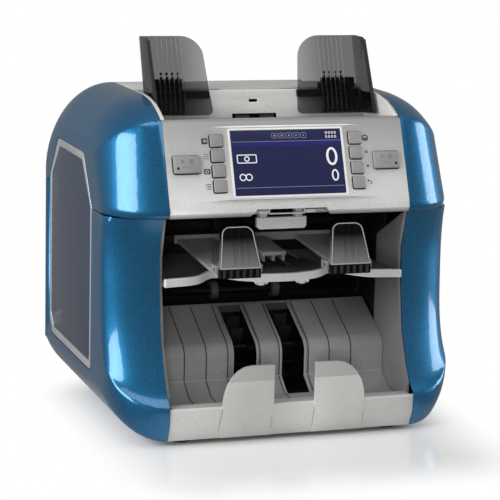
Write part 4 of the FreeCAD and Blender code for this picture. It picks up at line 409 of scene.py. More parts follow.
def dress(node):
    """Replaces a node by its own form with merged corners, softened edges and smooth shading."""
    mesh = NODES[node].data.copy()
    work = bmesh.new()
    work.from_mesh(mesh)
    bmesh.ops.remove_doubles(work, verts=work.verts, dist=SAME_PLACE)
    if node in ROUND:
        bmesh.ops.dissolve_limit(work, angle_limit=NEARLY_FLAT, verts=work.verts, edges=work.edges)
    work.to_mesh(mesh)
    work.free()
    item = bpy.data.objects.new(node + "_dressed", mesh)
    scene.collection.objects.link(item)
    if node in ROUND:
        soft = item.modifiers.new("round", "BEVEL")
        soft.width = ROUND[node] * MM
        soft.segments = 2
        soft.limit_method = "ANGLE"
        soft.angle_limit = CORNER
        soft.use_clamp_overlap = True
        soft.material = 1
        item.data.materials.clear()
        item.data.materials.append(FINISH[node])
        item.data.materials.append(FINISH[node])
        bpy.context.view_layer.update()
        settle(item)
        mark_rounded(item.data)
    item.data.shade_smooth()
    item.data.set_sharp_from_angle(angle=SHARP)
    item.data.materials.clear()
    item.data.materials.append(FINISH[node])
    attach(item, BODY_OF[node])
    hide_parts(node)


for name in FINISH:
    dress(name)


# ---------------------------------------------------------------- small pieces

X, Y, Z = Vector((1, 0, 0)), Vector((0, 1, 0)), Vector((0, 0, 1))
PANEL = (PANEL_CENTRE, X, PANEL_UP, PANEL_OUT)


def face_on(y):
    """An upright plane that faces the front, its place in millimetres."""
    return (Vector((0, y, 0)) * MM, X, Z, -Y)


def leaning(x, low, high):
    """A plane that faces the front and leans back from a lower to an upper point (Y, Z)."""
    up = Vector((0, high[0] - low[0], high[1] - low[1])).normalized()
    return (Vector((x, *low)) * MM, X, up, X.cross(up))


def slab(work, outline, plane, low, high):
    """A flat piece: an outline in a plane, drawn out between two levels."""
    origin, across, up, out = plane
    feet, tops = [
        [work.verts.new(origin + (across * u + up * v + out * level) * MM) for u, v in outline]
        for level in (low, high)]
    count = len(outline)
    work.faces.new(tops)
    work.faces.new(feet[::-1])
    for i in range(count):
        work.faces.new((feet[i], feet[(i + 1) % count], tops[(i + 1) % count], tops[i]))


def hoop(work, outer, inner, plane, low, high):
    """A flat ring between two outlines with the same number of points."""
    origin, across, up, out = plane
    rows = [
        [work.verts.new(origin + (across * u + up * v + out * level) * MM) for u, v in outline]
        for outline, level in ((outer, low), (outer, high), (inner, high), (inner, low))]
    count = len(outer)
    for first, second in zip(rows, rows[1:] + rows[:1]):
        for i in range(count):
            j = (i + 1) % count
            work.faces.new((first[i], first[j], second[j], second[i]))


def oval(u, v, wide, tall, count=40):
    """An ellipse round a middle, from its half sizes."""
    return [
        (u + wide * math.cos(2 * math.pi * i / count), v + tall * math.sin(2 * math.pi * i / count))
        for i in range(count)]


def block(u, v, wide, tall):
    """A rectangle round a middle."""
    return [(u - wide / 2, v - tall / 2), (u + wide / 2, v - tall / 2),
            (u + wide / 2, v + tall / 2), (u - wide / 2, v + tall / 2)]


def soft_block(u, v, wide, tall, radius, steps=5):
    """A rectangle round a middle with rounded corners."""
    points = []
    for corner, (sign_u, sign_v) in enumerate(((1, 1), (-1, 1), (-1, -1), (1, -1))):
        for step in range(steps + 1):
            angle = math.pi / 2 * (corner + step / steps)
            points.append((u + sign_u * (wide / 2 - radius) + radius * math.cos(angle),
                           v + sign_v * (tall / 2 - radius) + radius * math.sin(angle)))
    return points


def made(name, work, body, material, soften=0.0):
    """A bmesh as a finished piece."""
    bmesh.ops.recalc_face_normals(work, faces=work.faces)
    if soften:
        sharp = [edge for edge in work.edges if edge.calc_face_angle(0) > CORNER]
        bmesh.ops.bevel(work, geom=sharp, offset=soften * MM, segments=2, affect="EDGES", profile=0.5,
                        clamp_overlap=True)
    mesh = bpy.data.meshes.new(name)
    work.to_mesh(mesh)
    work.free()
    mesh.shade_smooth()
    mesh.set_sharp_from_angle(angle=SHARP)
    piece(name, mesh, body, material)


# Trees for what repeats: bars in a row, and round studs in a grid.

def tree_with(name, inputs):
    """A geometry tree with named inputs, its ends, and its closing nodes."""
    tree = bpy.data.node_groups.new(name, "GeometryNodeTree")
    tree.interface.new_socket("Geometry", in_out="OUTPUT", socket_type="NodeSocketGeometry")
    for label, kind in inputs + (("Turn", "Vector"), ("Finish", "Material")):
        tree.interface.new_socket(label, in_out="INPUT", socket_type="NodeSocket" + kind)
    nodes, links = tree.nodes, tree.links
    enter, leave = nodes.new("NodeGroupInput"), nodes.new("NodeGroupOutput")
    spread_out = nodes.new("GeometryNodeInstanceOnPoints")
    turn = nodes.new("FunctionNodeEulerToRotation")
    whole = nodes.new("GeometryNodeRealizeInstances")
    finish = nodes.new("GeometryNodeSetMaterial")
    links.new(enter.outputs["Turn"], turn.inputs[0])
    links.new(turn.outputs[0], spread_out.inputs["Rotation"])
    links.new(spread_out.outputs["Instances"], whole.inputs["Geometry"])
    links.new(whole.outputs["Geometry"], finish.inputs["Geometry"])
    links.new(enter.outputs["Finish"], finish.inputs["Material"])
    links.new(finish.outputs["Geometry"], leave.inputs["Geometry"])
    return tree, enter, spread_out, turn


def bar_row():
    """Bars of one size, a step apart."""
    tree, enter, spread_out, turn = tree_with(
        "bar row", (("Count", "Int"), ("First", "Vector"), ("Step", "Vector"), ("Size", "Vector")))
    line = tree.nodes.new("GeometryNodeMeshLine")
    bar = tree.nodes.new("GeometryNodeMeshCube")
    tree.links.new(enter.outputs["Count"], line.inputs["Count"])
    tree.links.new(enter.outputs["First"], line.inputs["Start Location"])
    tree.links.new(enter.outputs["Step"], line.inputs["Offset"])
    tree.links.new(enter.outputs["Size"], bar.inputs["Size"])
    tree.links.new(line.outputs["Mesh"], spread_out.inputs["Points"])
    tree.links.new(bar.outputs["Mesh"], spread_out.inputs["Instance"])
    return tree


def stud_grid():
    """Round studs in rows and columns, in a plane that may be turned."""
    tree, enter, spread_out, turn = tree_with(
        "stud grid", (("Columns", "Int"), ("Rows", "Int"), ("Wide", "Float"), ("Tall", "Float"),
                      ("Middle", "Vector"), ("Radius", "Float"), ("Proud", "Float")))
    grid = tree.nodes.new("GeometryNodeMeshGrid")
    stud = tree.nodes.new("GeometryNodeMeshCylinder")
    stud.inputs["Vertices"].default_value = 14
    move = tree.nodes.new("GeometryNodeTransform")
    for label, socket in (
            ("Columns", "Vertices X"), ("Rows", "Vertices Y"), ("Wide", "Size X"), ("Tall", "Size Y")):
        tree.links.new(enter.outputs[label], grid.inputs[socket])
    tree.links.new(enter.outputs["Radius"], stud.inputs["Radius"])
    tree.links.new(enter.outputs["Proud"], stud.inputs["Depth"])
    tree.links.new(grid.outputs["Mesh"], move.inputs["Geometry"])
    tree.links.new(enter.outputs["Middle"], move.inputs["Translation"])
    tree.links.new(turn.outputs[0], move.inputs["Rotation"])
    tree.links.new(move.outputs["Geometry"], spread_out.inputs["Points"])
    tree.links.new(stud.outputs["Mesh"], spread_out.inputs["Instance"])
    return tree


BAR_ROW = bar_row()
STUD_GRID = stud_grid()


def grown(tree, values):
    """The plain mesh that a tree makes with these values."""
    item = bpy.data.objects.new("grown", bpy.data.meshes.new("grown"))
    scene.collection.objects.link(item)
    modifier = item.modifiers.new("tree", "NODES")
    modifier.node_group = tree
    for socket in tree.interface.items_tree:
        if socket.in_out == "INPUT":
            modifier[socket.identifier] = values[socket.name]
    bpy.context.view_layer.update()
    mesh = bpy.data.meshes.new_from_object(item.evaluated_get(bpy.context.evaluated_depsgraph_get()))
    bpy.data.objects.remove(item)
    return mesh


def joined(name, body, material, tree, rows):
    """Several runs of one tree as one piece."""
    work = bmesh.new()
    for values in rows:
        mesh = grown(tree, {"Turn": (0.0, 0.0, 0.0), "Finish": material, **values})
        work.from_mesh(mesh)
        bpy.data.meshes.remove(mesh)
    mesh = bpy.data.meshes.new(name)
    work.to_mesh(mesh)
    work.free()
    piece(name, mesh, body, material)


def mm(*values):
    """Millimetres as metres."""
    return tuple(value * MM for value in values)


# The slope of the raised field, where the function keys and their signs are.
KEY_ROWS = [0.3 + 12.6 * step for step in (1.5, 0.5, -0.5, -1.5)]
SIGN_PLACE, FIELD_HALF, SLOPE_RUN, SLOPE_FALL = 69.6, 78.0, 28.0, 1.8
START_PLACE, START_PROUD = 86.1, 2.6
PRINTED = (-0.02, 0.07)


def slope_plane(sign, along):
    """The sloped side of the raised field, at a height along the panel."""
    across = (X * SLOPE_RUN - sign * PANEL_OUT * SLOPE_FALL).normalized()
    out = across.cross(PANEL_UP)
    height = SLOPE_FALL * (FIELD_HALF - SIGN_PLACE) / SLOPE_RUN
    return (on_panel(sign * SIGN_PLACE, along, height), across, PANEL_UP, out)


# Display: a bar, lines, plain figures and simple signs on the dark ground.
DISPLAY_WIDE, DISPLAY_TALL, DISPLAY_FACE = 95.0, 53.9, 1.8
SHOWN = (DISPLAY_FACE, DISPLAY_FACE + 0.08)


def display_marks():
    work = bmesh.new()
    slab(work, block(0, 15.4, DISPLAY_WIDE - 0.6, 3.5), PANEL, *SHOWN)
    made("display_bar", work, "upper_unit", SCREEN_BAR)
    work = bmesh.new()
    slab(work, block(0, 17.6, DISPLAY_WIDE - 0.6, 0.35), PANEL, *SHOWN)
    slab(work, block(0, -20.75, DISPLAY_WIDE - 2.0, 0.4), PANEL, *SHOWN)
    for step in range(5):
        middle = -9.6 + 6.2 * step
        hoop(work, soft_block(middle, 22.3, 5.4, 4.6, 1.2), soft_block(middle, 22.3, 4.7, 3.9, 0.9), PANEL, *SHOWN)
        slab(work, oval(middle, 22.3, 1.1 - 0.15 * step, 0.9, 16), PANEL, *SHOWN)
    made("display_lines", work, "upper_unit", SCREEN_LINE)
    work = bmesh.new()
    hoop(work, oval(38.2, 4.0, 4.9, 7.6), oval(38.2, 4.0, 2.9, 5.7), PANEL, *SHOWN)
    hoop(work, oval(39.6, -11.9, 3.1, 4.9), oval(39.6, -11.9, 1.8, 3.6), PANEL, *SHOWN)
    for row in range(2):
        for step in range(4):
            middle = (35.2 + 2.6 * step, 24.0 - 3.4 * row)
            hoop(work, oval(*middle, 0.85, 1.15, 18), oval(*middle, 0.45, 0.75, 18), PANEL, *SHOWN)
    hoop(work, soft_block(-35.4, 3.4, 17.0, 7.4, 1.0), soft_block(-35.4, 3.4, 15.4, 5.8, 0.6), PANEL, *SHOWN)
    hoop(work, oval(-35.4, 3.4, 2.3, 2.3), oval(-35.4, 3.4, 1.4, 1.4), PANEL, *SHOWN)
    hoop(work, oval(-40.2, -11.9, 3.0, 3.0), oval(-40.2, -11.9, 2.1, 2.1), PANEL, *SHOWN)
    hoop(work, oval(-35.0, -11.9, 3.0, 3.0), oval(-35.0, -11.9, 2.1, 2.1), PANEL, *SHOWN)
    made("display_figures", work, "upper_unit", SCREEN_WHITE)
    work = bmesh.new()
    hoop(work, soft_block(0, 0, DISPLAY_WIDE + 4.6, DISPLAY_TALL + 4.2, 1.4),
         soft_block(0, 0, DISPLAY_WIDE + 0.9, DISPLAY_TALL + 0.9, 0.4),
         PANEL, DISPLAY_FACE - 0.1, DISPLAY_FACE + 0.35)
    made("display_frame", work, "upper_unit", FRAME, 0.12)
    # A pale strip along the raised field's upper edge: a painted highlight.
    work = bmesh.new()
    slab(work, block(0, 30.4, 100.0, 1.5), PANEL, DISPLAY_FACE - 0.05, DISPLAY_FACE + 0.3)
    for sign in (-1, 1):
        slab(work, [(u * sign, v) for u, v in ((-19.7, 29.65), (-6.0, 30.6), (-19.7, 31.15))][::sign],
             slope_plane(sign, 0), -0.05, 0.3)
    made("field_top_highlight", work, "upper_unit", FRAME, 0.1)
    # A grey line along the raised field's lower edge: painted shade.
    work = bmesh.new()
    slab(work, block(0, -30.6, 100.0, 0.45), PANEL, DISPLAY_FACE - 0.05, DISPLAY_FACE + 0.08)
    for sign in (-1, 1):
        slab(work, [(u * sign, v) for u, v in ((-19.7, -30.85), (-5.0, -30.6), (-19.7, -30.35))][::sign],
             slope_plane(sign, 0), -0.05, 0.08)
    made("field_foot_shade", work, "upper_unit", FAINT)


display_marks()


# Signs beside the function keys and on the start keys, and the dark gaps round the keys, with a painted shadow on
# their left and lower sides.
def key_gaps_and_shadows():
    work = bmesh.new()
    for sign in (-1, 1):
        start = (on_panel(sign * START_PLACE, 0, 0), X, PANEL_UP, PANEL_OUT)
        hoop(work, soft_block(-0.1, -0.1, 24.5, 16.0, 2.6), soft_block(0, 0, 22.2, 13.7, 1.6), start, -0.1, 0.1)
        for along in KEY_ROWS:
            # Each ring is wider on its left and lower side: a painted shadow beside the dark gap.
            hoop(work, soft_block(-0.35 - sign * 9.75, -0.35, 12.1, 11.5, 1.9),
                 soft_block(-sign * 9.75, 0, 10.2, 9.7, 1.2), slope_plane(sign, along), -0.1, 0.12)
    made("key_gaps_and_shadows", work, "upper_unit", KEY_GAP_SHADOW)


key_gaps_and_shadows()


def key_signs():
    work = bmesh.new()
    first = slope_plane(-1, KEY_ROWS[0])
    hoop(work, soft_block(0, 0, 5.0, 5.0, 0.8), soft_block(0.4, 0.2, 2.6, 2.4, 0.4), first, *PRINTED)
    slab(work, block(0.4, 0.2, 1.4, 0.5), first, *PRINTED)
    second = slope_plane(-1, KEY_ROWS[1])
    for row in (-1, 0, 1):
        slab(work, block(-0.9, 1.9 * row, 1.6, 0.5), second, *PRINTED)
        slab(work, block(1.3, 1.9 * row, 1.6, 0.5), second, *PRINTED)
    third = slope_plane(-1, KEY_ROWS[2])
    hoop(work, soft_block(0, 0, 5.2, 4.4, 1.0), soft_block(0, 0, 3.0, 2.8, 1.3), third, *PRINTED)
    slab(work, oval(0, 0, 0.8, 0.8, 16), third, *PRINTED)
    fourth = slope_plane(-1, KEY_ROWS[3])
    for row in (-1.5, -0.5, 0.5, 1.5):
        slab(work, block(0.6, 1.3 * row, 3.6, 0.5), fourth, *PRINTED)
        slab(work, block(-2.0, 1.3 * row, 0.7, 0.5), fourth, *PRINTED)
    first = slope_plane(1, KEY_ROWS[0])
    hoop(work, oval(0, 0, 2.9, 2.7), oval(0, 0.2, 2.0, 1.5), first, *PRINTED)
    slab(work, block(0, -0.4, 3.0, 1.0), first, *PRINTED)
    slab(work, [(-1.4, -1.2), (1.4, -1.2), (0, 1.2)], slope_plane(1, KEY_ROWS[1] + 1.0), *PRINTED)
    slab(work, [(-1.4, 1.2), (0, -1.2), (1.4, 1.2)], slope_plane(1, KEY_ROWS[2] + 1.0), *PRINTED)
    fourth = slope_plane(1, KEY_ROWS[3])
    turn = [math.radians(angle) for angle in range(-90, 100, 15)]
    slab(work, [(0.4 + 2.0 * math.cos(a), 1.6 * math.sin(a)) for a in turn]
         + [(0.4 + 1.4 * math.cos(a), 1.0 * math.sin(a)) for a in reversed(turn)], fourth, *PRINTED)
    slab(work, [(-2.2, 1.3), (-0.2, 0.2), (-0.2, 2.4)], fourth, *PRINTED)
    made("key_signs", work, "upper_unit", INK)
    for side, sign in (("left", -1), ("right", 1)):
        top = (on_panel(sign * START_PLACE, 0, START_PROUD), X, PANEL_UP, PANEL_OUT)
        work = bmesh.new()
        slab(work, [(-5.2, 0.4), (-1.4, 2.5), (-5.2, 4.6)], top, *PRINTED)
        slab(work, block(3.4, 2.5, 3.6, 3.6), top, *PRINTED)
        slab(work, block(0.6, -2.4, 9.4, 0.6), top, *PRINTED)
        made(f"start_signs_{side}", work, f"start_{side}", FAINT)
        work = bmesh.new()
        slab(work, oval(sign * 8.0, -3.3, 1.1, 1.1, 24), top, -0.02, 0.15)
        made(f"start_lamp_{side}", work, f"start_{side}", BLACK)


key_signs()


# Hopper guides: clear ribs, black edge, and the ribbed black rest behind the back plate.
GUIDE_LEAN = math.radians(19.7)
GUIDE_FOOT = (-24.9, 254.94)
GUIDE_LONG, GUIDE_WALL, FIN_PLACE = 68.7, 2.2, 96.3


def on_guide(across, along, out):
    """A point of a guide's back plate, in metres."""
    return mm(across,
              GUIDE_FOOT[0] + along * math.sin(GUIDE_LEAN) - out * math.cos(GUIDE_LEAN),
              GUIDE_FOOT[1] + along * math.cos(GUIDE_LEAN) + out * math.sin(GUIDE_LEAN))


def beam(work, first, second, wide, thick):
    """A straight bar of two widths, in metres, between two points of one upright plane."""
    first, second = Vector(first), Vector(second)
    along = (second - first).normalized()
    side = X.cross(along)
    corners = [X * (wide / 2) + side * (thick / 2), X * (-wide / 2) + side * (thick / 2),
               X * (-wide / 2) - side * (thick / 2), X * (wide / 2) - side * (thick / 2)]
    feet, tops = [[work.verts.new(end + corner) for corner in corners] for end in (first, second)]
    work.faces.new(feet)
    work.faces.new(tops[::-1])
    for i in range(4):
        work.faces.new((feet[i], tops[i], tops[(i + 1) % 4], feet[(i + 1) % 4]))


def guide_details(side, sign):
    body = f"{side}_guide_unit"
    lean = (-GUIDE_LEAN, 0.0, 0.0)
    joined(f"{side}_guide_ribs", body, SMOKE_RIB, BAR_ROW, [
        {"Count": 6, "First": on_guide(sign * 62.0, 35.0, 0.1), "Step": mm(sign * 4.2, 0, 0),
         "Size": mm(0.5, 0.3, 63.0), "Turn": lean}])
    joined(f"{side}_guide_rest", body, BLACK, BAR_ROW, [
        {"Count": 7, "First": on_guide(sign * 64.0, 11.4, -GUIDE_WALL - 0.75), "Step": mm(sign * 4.5, 0, 0),
         "Size": mm(2.6, 1.4, 19.0), "Turn": lean}])
    joined(f"{side}_guide_studs", body, BLACK, STUD_GRID, [
        {"Columns": 4, "Rows": 2, "Wide": 0.0150, "Tall": 0.0034,
         "Middle": on_guide(sign * 73.5, 34.6, -GUIDE_WALL - 0.45), "Radius": 0.0012, "Proud": 0.0008,
         "Turn": (math.pi / 2 - GUIDE_LEAN, 0.0, 0.0)}])
    work = bmesh.new()
    back = (Vector(on_guide(0, 0, 0)), X, Vector((0, math.sin(GUIDE_LEAN), math.cos(GUIDE_LEAN))),
            Vector((0, -math.cos(GUIDE_LEAN), math.sin(GUIDE_LEAN))))
    slab(work, block(sign * 67.8, 18.4, 57.6, 6.2), back, -GUIDE_WALL - 1.5, -GUIDE_WALL - 0.05)
    made(f"{side}_guide_strip", work, body, BLACK, 0.2)
    work = bmesh.new()
    top = Vector(mm(sign * FIN_PLACE, GUIDE_FOOT[0] + GUIDE_LONG * math.sin(GUIDE_LEAN) - 21.5,
                    GUIDE_FOOT[1] + GUIDE_LONG * math.cos(GUIDE_LEAN)))
    foot = Vector(mm(sign * FIN_PLACE, GUIDE_FOOT[0] - 31.0, GUIDE_FOOT[1] + 3.0))
    beam(work, top.lerp(foot, 0.03), top.lerp(foot, 0.99), 2.7 * MM, 2.2 * MM)
    made(f"{side}_guide_edge", work, body, DARK, 0.3)


for side, sign in (("left", -1), ("right", 1)):
    guide_details(side, sign)


# Stoppers: pale rim, three ribs on the leaning face, and a ribbed foot.
STOPPER_PLACE, STOPPER_HALF, STOPPER_TAPER = 47.5, 17.2, 3.5
STOPPER_FOLD, STOPPER_HEAD = (-135.0, 144.5), (-122.3, 176.9)
STOPPER_RISE = math.dist(STOPPER_FOLD, STOPPER_HEAD)


def stopper_outline(inset):
    """The leaning face's outline, drawn in by an inset."""
    half, top, round_off = STOPPER_HALF - inset, STOPPER_RISE - inset, 7.2 - inset
    slant = math.atan2(STOPPER_TAPER, STOPPER_RISE)
    head = half - STOPPER_TAPER
    points = [(-half, inset), (half, inset)]
    for step in range(9):
        angle = (math.pi / 2 + slant) * step / 8
        points.append((head - round_off * (1 - math.cos(angle)), top - round_off * (1 - math.sin(angle))))
    return points + [(-u, v) for u, v in reversed(points[2:])]


def stopper_details(side, sign):
    body = f"{side}_stop"
    middle = sign * STOPPER_PLACE
    face = leaning(middle, STOPPER_FOLD, STOPPER_HEAD)
    work = bmesh.new()
    hoop(work, stopper_outline(0.15), stopper_outline(0.95), face, -0.3, 0.3)
    made(f"{side}_stopper_rim", work, body, RIM)
    work = bmesh.new()
    for offset in (-5.8, 0.0, 5.6):
        slab(work, soft_block(offset, STOPPER_RISE / 2 + 1.0, 2.0, STOPPER_RISE - 4.5, 0.9), face, -0.3, 0.7)
    made(f"{side}_stopper_ribs", work, body, STOPPER, 0.2)
    joined(f"{side}_stopper_foot", body, FOOT_RIB, BAR_ROW, [
        {"Count": 6, "First": mm(middle - 14.0, -135.2, 140.6), "Step": mm(5.6, 0, 0), "Size": mm(2.4, 0.8, 6.4)}])


for side, sign in (("left", -1), ("right", 1)):
    stopper_details(side, sign)


# Latch: two facets on the paddle, two bars and a frame in the notch above it.
def latch_details():
    paddle = face_on(-97.0)
    work = bmesh.new()
    slab(work, [(-14.0, 170.4), (-13.2, 170.2), (0.4, 177.0), (0.0, 177.8)], paddle, -0.2, 0.25)
    slab(work, [(13.2, 170.2), (14.0, 170.4), (0.0, 177.8), (-0.4, 177.0)], paddle, -0.2, 0.25)
    slab(work, block(0, 178.1, 40.0, 0.9), paddle, -0.2, 0.5)
    made("latch_facets", work, "latch", LIGHT, 0.1)
    notch = face_on(-109.0)
    work = bmesh.new()
    for sign in (-1, 1):
        slab(work, [(sign * u, v) for u, v in ((16.0, 183.9), (31.5, 183.9), (29.0, 186.9), (16.0, 186.9))][::sign],
             notch, -3.0, 0.0)
    hoop(work, block(0, 185.6, 31.4, 4.6), block(0, 186.2, 29.4, 3.4), notch, -2.0, 0.0)
    made("notch_bars", work, "upper_unit", LIGHT, 0.25)


latch_details()


# Reject shelf: two small lens clips under the lip.
def lens_clips():
    work = bmesh.new()
    under = (Vector(mm(0, -100.0, 126.0)), X, -Y, -Z)
    for middle in (-17.9, 17.9):
        slab(work, soft_block(middle, 0, 12.0, 4.4, 1.0), under, -0.1, 1.3)
        slab(work, oval(middle, 0, 3.0, 2.0, 24), under, 1.2, 3.2)
        slab(work, block(middle - 4.4, 0, 1.6, 3.2), under, 1.2, 2.4)
        slab(work, block(middle + 4.4, 0, 1.6, 3.2), under, 1.2, 2.4)
    made("lens_clips", work, "base_unit", LIGHT, 0.25)


lens_clips()


# Stacker plate: grooves along the way of the notes, raised rims beside the slots, and a pale line at the step's foot
# that is a painted highlight.
CREST, CREST_ROUND = (-60.5, 55.84), 15.0
STACK_LINE = [(-26.5, 90.21), (-67.36, 69.19)]
for share in range(1, 8):
    turn = math.radians(117.2 + (180 - 117.2) * share / 8)
    STACK_LINE.append((CREST[0] + CREST_ROUND * math.cos(turn), CREST[1] + CREST_ROUND * math.sin(turn)))
STACK_LINE += [(-75.5, 55.84), (-75.5, 37.5), (-90.0, 27.0), (-126.0, 23.42)]


def along_plate(work, middle, wide, proud, line):
    """A strip that follows the plate's front."""
    rows = []
    for index, (y, z) in enumerate(line):
        before = Vector(line[max(index - 1, 0)])
        after = Vector(line[min(index + 1, len(line) - 1)])
        along = (after - before).normalized()
        lift = Vector((along.y, -along.x)) * proud
        if lift.y - lift.x < 0:
            lift = -lift
        rows.append([work.verts.new(mm(x, y + up * lift.x, z + up * lift.y))
                     for x, up in ((middle - wide / 2, -1), (middle + wide / 2, -1),
                                   (middle + wide / 2, 1), (middle - wide / 2, 1))])
    for first, second in zip(rows, rows[1:]):
        for i in range(4):
            work.faces.new((first[i], first[(i + 1) % 4], second[(i + 1) % 4], second[i]))
    work.faces.new(rows[0])
    work.faces.new(rows[-1][::-1])


def stacker_details():
    work = bmesh.new()
    for place in (-75.4, -56.2, -37.2, -8.6, 8.6, 34.8, 53.8, 73.6):
        along_plate(work, place, 1.0, 0.08, STACK_LINE)
    for sign in (-1, 1):
        slab(work, block(sign * 21.5, 87.0, 20.2, 6.0), face_on(-28.1), -0.1, 0.1)
    made("stacker_grooves", work, "base_unit", GROOVE)
    work = bmesh.new()
    rim = STACK_LINE[:-1] + [(-92.5, 26.75)]
    for place in (10.3, 32.7):
        for sign in (-1, 1):
            along_plate(work, sign * place, 1.6, 0.5, rim)
    made("slot_rims", work, "base_unit", POCKET, 0.2)
    # A pale strip at the step's foot: a painted highlight.
    work = bmesh.new()
    foot = leaning(0, (-75.6, 37.4), (-75.55, 38.4))
    for low, high in ((-102.5, -33.8), (-9.2, 9.2), (33.8, 102.5)):
        slab(work, block((low + high) / 2, 0.35, high - low, 0.5), foot, -0.1, 0.15)
    made("step_foot_highlight", work, "base_unit", STEP_HIGHLIGHT)


stacker_details()


# Front plate: thin seams that run down from the feet of the tabs.
SEAM_LOW, SEAM_HIGH = 11.0, 29.8


def plate_seams():
    work = bmesh.new()
    plate = face_on(-139.2)
    for top, foot, wide in ((-61.6, -65.4, 0.45), (-18.6, -20.2, 0.3), (18.6, 15.6, 0.45), (61.6, 60.4, 0.3)):
        half = wide / 2
        outline = [(foot - half, SEAM_LOW), (foot + half, SEAM_LOW), (top + half, SEAM_HIGH), (top - half, SEAM_HIGH)]
        slab(work, outline, plate, -0.05, 0.05)
    made("plate_seams", work, "base_unit", FAINT)


plate_seams()


# Top: a strip that closes the carriages' slot between their inner ends.
def slot_strip():
    work = bmesh.new()
    slab(work, block(0, -5.6, 56.6, 8.7), (Vector((0, 0, 0)), X, Y, Z), 272.6, 274.45)
    made("slot_strip", work, "upper_unit", SILVER, 0.3)


slot_strip()


# Back and underside: black crosses painted as the shade in the screws' recesses, tongues in the data sockets, a bare
# plate, and black discs painted as the shade in the air holes below.
def back_details():
    rear = (Vector((0, 0.136, 0)), -X, Z, Y)
    # Black crosses in place of the screws' recesses: painted shade.
    work = bmesh.new()
    for x in (-96.0, 96.0):
        for z in (46.0, 165.0):
            slab(work, block(x, z, 3.6, 0.8), rear, 1.5, 1.68)
            slab(work, block(x, z, 0.8, 3.6), rear, 1.5, 1.68)
    made("screw_cross_shade", work, "base_unit", BLACK)
    joined("socket_tongues", "base_unit", KEY, BAR_ROW, [
        {"Count": 3, "First": mm(-84.0, 127.0, 51.2), "Step": mm(18.0, 0, 0), "Size": mm(7.6, 12.0, 1.8)}])
    work = bmesh.new()
    hoop(work, soft_block(0, 78.0, 62.0, 30.0, 3.0), soft_block(0, 78.0, 59.0, 27.0, 2.0), rear, -0.1, 0.7)
    slab(work, soft_block(0, 78.0, 59.4, 27.4, 2.0), rear, -0.1, 0.25)
    made("bare_plate", work, "base_unit", LIGHT, 0.15)
    # Black discs in place of open air holes: painted shade.
    joined("air_hole_shade", "base_unit", BLACK, STUD_GRID, [
        {"Columns": 12, "Rows": 7, "Wide": 0.110, "Tall": 0.060, "Middle": mm(0.0, y, 7.97),
         "Radius": 0.0024, "Proud": 0.0002} for y in (-50.0, 40.0)])


back_details()


# ---------------------------------------------------------------- floor, light and camera

def plane(name, size, place):
    mesh = bpy.data.meshes.new(name)
    half = size / 2
    mesh.from_pydata([(-half, -half, 0), (half, -half, 0), (half, half, 0), (-half, half, 0)], [], [(0, 1, 2, 3)])
    item = bpy.data.objects.new(name, mesh)
    scene.collection.objects.link(item)
    item.location = place
    return item


MIRRORED = 0.22    # how bright the white background is in mirrors: the studio round it is darker
PLAIN_LIGHT = 0.25
# The part of the floor that keeps the shadow, and how far beyond it the floor is white.
SHADOW_SHIFT, SHADOW_HALF, WHITE_BEYOND = (0.0, 0.09, 0.0), (0.095, 0.120, 0.0), 0.085


def seen(tree, mirrored):
    """One for the rays that show the background straight or through glass, a share of it in mirrors."""
    path = tree.nodes.new("ShaderNodeLightPath")
    dimmed = tree.nodes.new("ShaderNodeMath")
    dimmed.operation = "MULTIPLY"
    dimmed.inputs[1].default_value = mirrored
    first = tree.nodes.new("ShaderNodeMath")
    first.operation = "MAXIMUM"
    second = tree.nodes.new("ShaderNodeMath")
    second.operation = "MAXIMUM"
    tree.links.new(path.outputs["Is Glossy Ray"], dimmed.inputs[0])
    tree.links.new(path.outputs["Is Camera Ray"], first.inputs[0])
    tree.links.new(dimmed.outputs[0], first.inputs[1])
    tree.links.new(first.outputs[0], second.inputs[0])
    tree.links.new(path.outputs["Is Transmission Ray"], second.inputs[1])
    return second.outputs[0]


def pale_floor():
    """A pale floor that keeps the shadow and a faint reflection, and goes over into the white ground."""
    floor = plane("floor", 40.0, (0, 0, 0))
    material, shader = fresh("pale floor")
    tree = material.node_tree
    shader.inputs["Base Color"].default_value = (0.78, 0.78, 0.78, 1)
    shader.inputs["Roughness"].default_value = 0.12
    shader.inputs["IOR"].default_value = 1.45
    white = tree.nodes.new("ShaderNodeEmission")
    white.inputs["Color"].default_value = (1, 1, 1, 1)
    place = tree.nodes.new("ShaderNodeTexCoord")
    steps = []
    for operation, value in (("ADD", SHADOW_SHIFT), ("ABSOLUTE", None), ("SUBTRACT", SHADOW_HALF),
                             ("MAXIMUM", (0.0, 0.0, 0.0)), ("LENGTH", None)):
        step = tree.nodes.new("ShaderNodeVectorMath")
        step.operation = operation
        if value:
            step.inputs[1].default_value = value
        tree.links.new(steps[-1].outputs["Vector"] if steps else place.outputs["Object"], step.inputs[0])
        steps.append(step)
    far = tree.nodes.new("ShaderNodeMapRange")
    far.interpolation_type = "SMOOTHSTEP"
    far.inputs["From Min"].default_value = 0.0
    far.inputs["From Max"].default_value = WHITE_BEYOND
    share = tree.nodes.new("ShaderNodeMath")
    share.operation = "MULTIPLY"
    mix = tree.nodes.new("ShaderNodeMixShader")
    tree.links.new(steps[-1].outputs["Value"], far.inputs["Value"])
    tree.links.new(far.outputs["Result"], share.inputs[0])
    tree.links.new(seen(tree, 1.0), share.inputs[1])
    tree.links.new(seen(tree, MIRRORED), white.inputs["Strength"])
    tree.links.new(share.outputs[0], mix.inputs["Fac"])
    tree.links.new(shader.outputs["BSDF"], mix.inputs[1])
    tree.links.new(white.outputs["Emission"], mix.inputs[2])
    tree.links.new(mix.outputs["Shader"], tree.nodes["Material Output"].inputs["Surface"])
    floor.data.materials.append(material)


pale_floor()


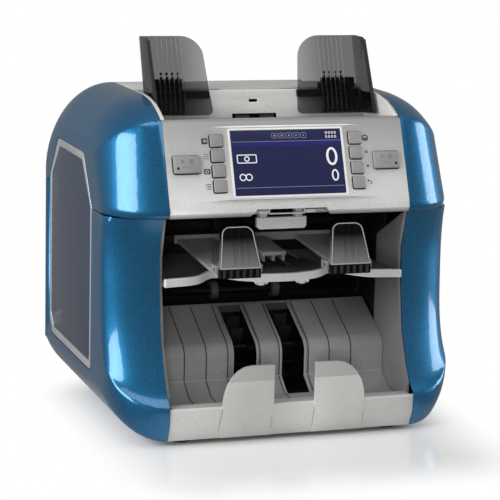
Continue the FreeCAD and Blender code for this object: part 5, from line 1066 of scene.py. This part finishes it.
def white_world():
    """White where it is seen, a plain pale light elsewhere."""
    world = bpy.data.worlds.new("studio")
    scene.world = world
    world.use_nodes = True
    tree = world.node_tree
    ground = tree.nodes["Background"]
    ground.inputs["Color"].default_value = (1, 1, 1, 1)
    level = tree.nodes.new("ShaderNodeMath")
    level.operation = "MAXIMUM"
    level.inputs[1].default_value = PLAIN_LIGHT
    tree.links.new(seen(tree, MIRRORED), level.inputs[0])
    tree.links.new(level.outputs[0], ground.inputs["Strength"])


white_world()


def softbox(name, place, target, size, power):
    """A rectangular studio lamp."""
    lamp = bpy.data.lights.new(name, "AREA")
    lamp.shape = "RECTANGLE"
    lamp.size, lamp.size_y = size
    lamp.energy = power
    item = bpy.data.objects.new(name, lamp)
    scene.collection.objects.link(item)
    item.location = place
    item.rotation_euler = (Vector(target) - Vector(place)).to_track_quat("-Z", "Y").to_euler()
    return item


MIDDLE = (0, 0, 0.15)
softbox("left softbox", (-1.45, -0.50, 0.70), MIDDLE, (1.15, 1.05), 27.0)
softbox("right softbox", (1.45, -0.30, 0.46), MIDDLE, (0.65, 1.00), 11.0)
softbox("top softbox", (0.0, -0.3, 1.5), MIDDLE, (1.2, 0.9), 7.0)
fill = softbox("front fill", (-0.62, -1.85, 0.34), (0, 0, 0.09), (0.40, 0.34), 10.5)
fill.visible_glossy = False


# The camera, fitted to the machine's edges: turn to the side, down and round, place, and lens.
CAMERA_TURN, CAMERA_PLACE, CAMERA_LENS = (18.86, 11.02, 1.4), (-0.55165, -1.63201, 0.46789), 144.56


def photo_camera():
    yaw, pitch, roll = (math.radians(angle) for angle in CAMERA_TURN)
    ahead = Vector((math.sin(yaw) * math.cos(pitch), math.cos(yaw) * math.cos(pitch), -math.sin(pitch)))
    right = Vector((math.cos(yaw), -math.sin(yaw), 0))
    up = right.cross(ahead)
    across = right * math.cos(roll) + up * math.sin(roll)
    above = up * math.cos(roll) - right * math.sin(roll)
    lens = bpy.data.cameras.new("camera")
    lens.sensor_width = 36.0
    lens.lens = CAMERA_LENS
    lens.clip_start, lens.clip_end = 0.05, 50.0
    item = bpy.data.objects.new("camera", lens)
    scene.collection.objects.link(item)
    turn = Matrix((across, above, -ahead)).transposed().to_4x4()
    item.matrix_world = Matrix.Translation(CAMERA_PLACE) @ turn
    scene.camera = item


photo_camera()
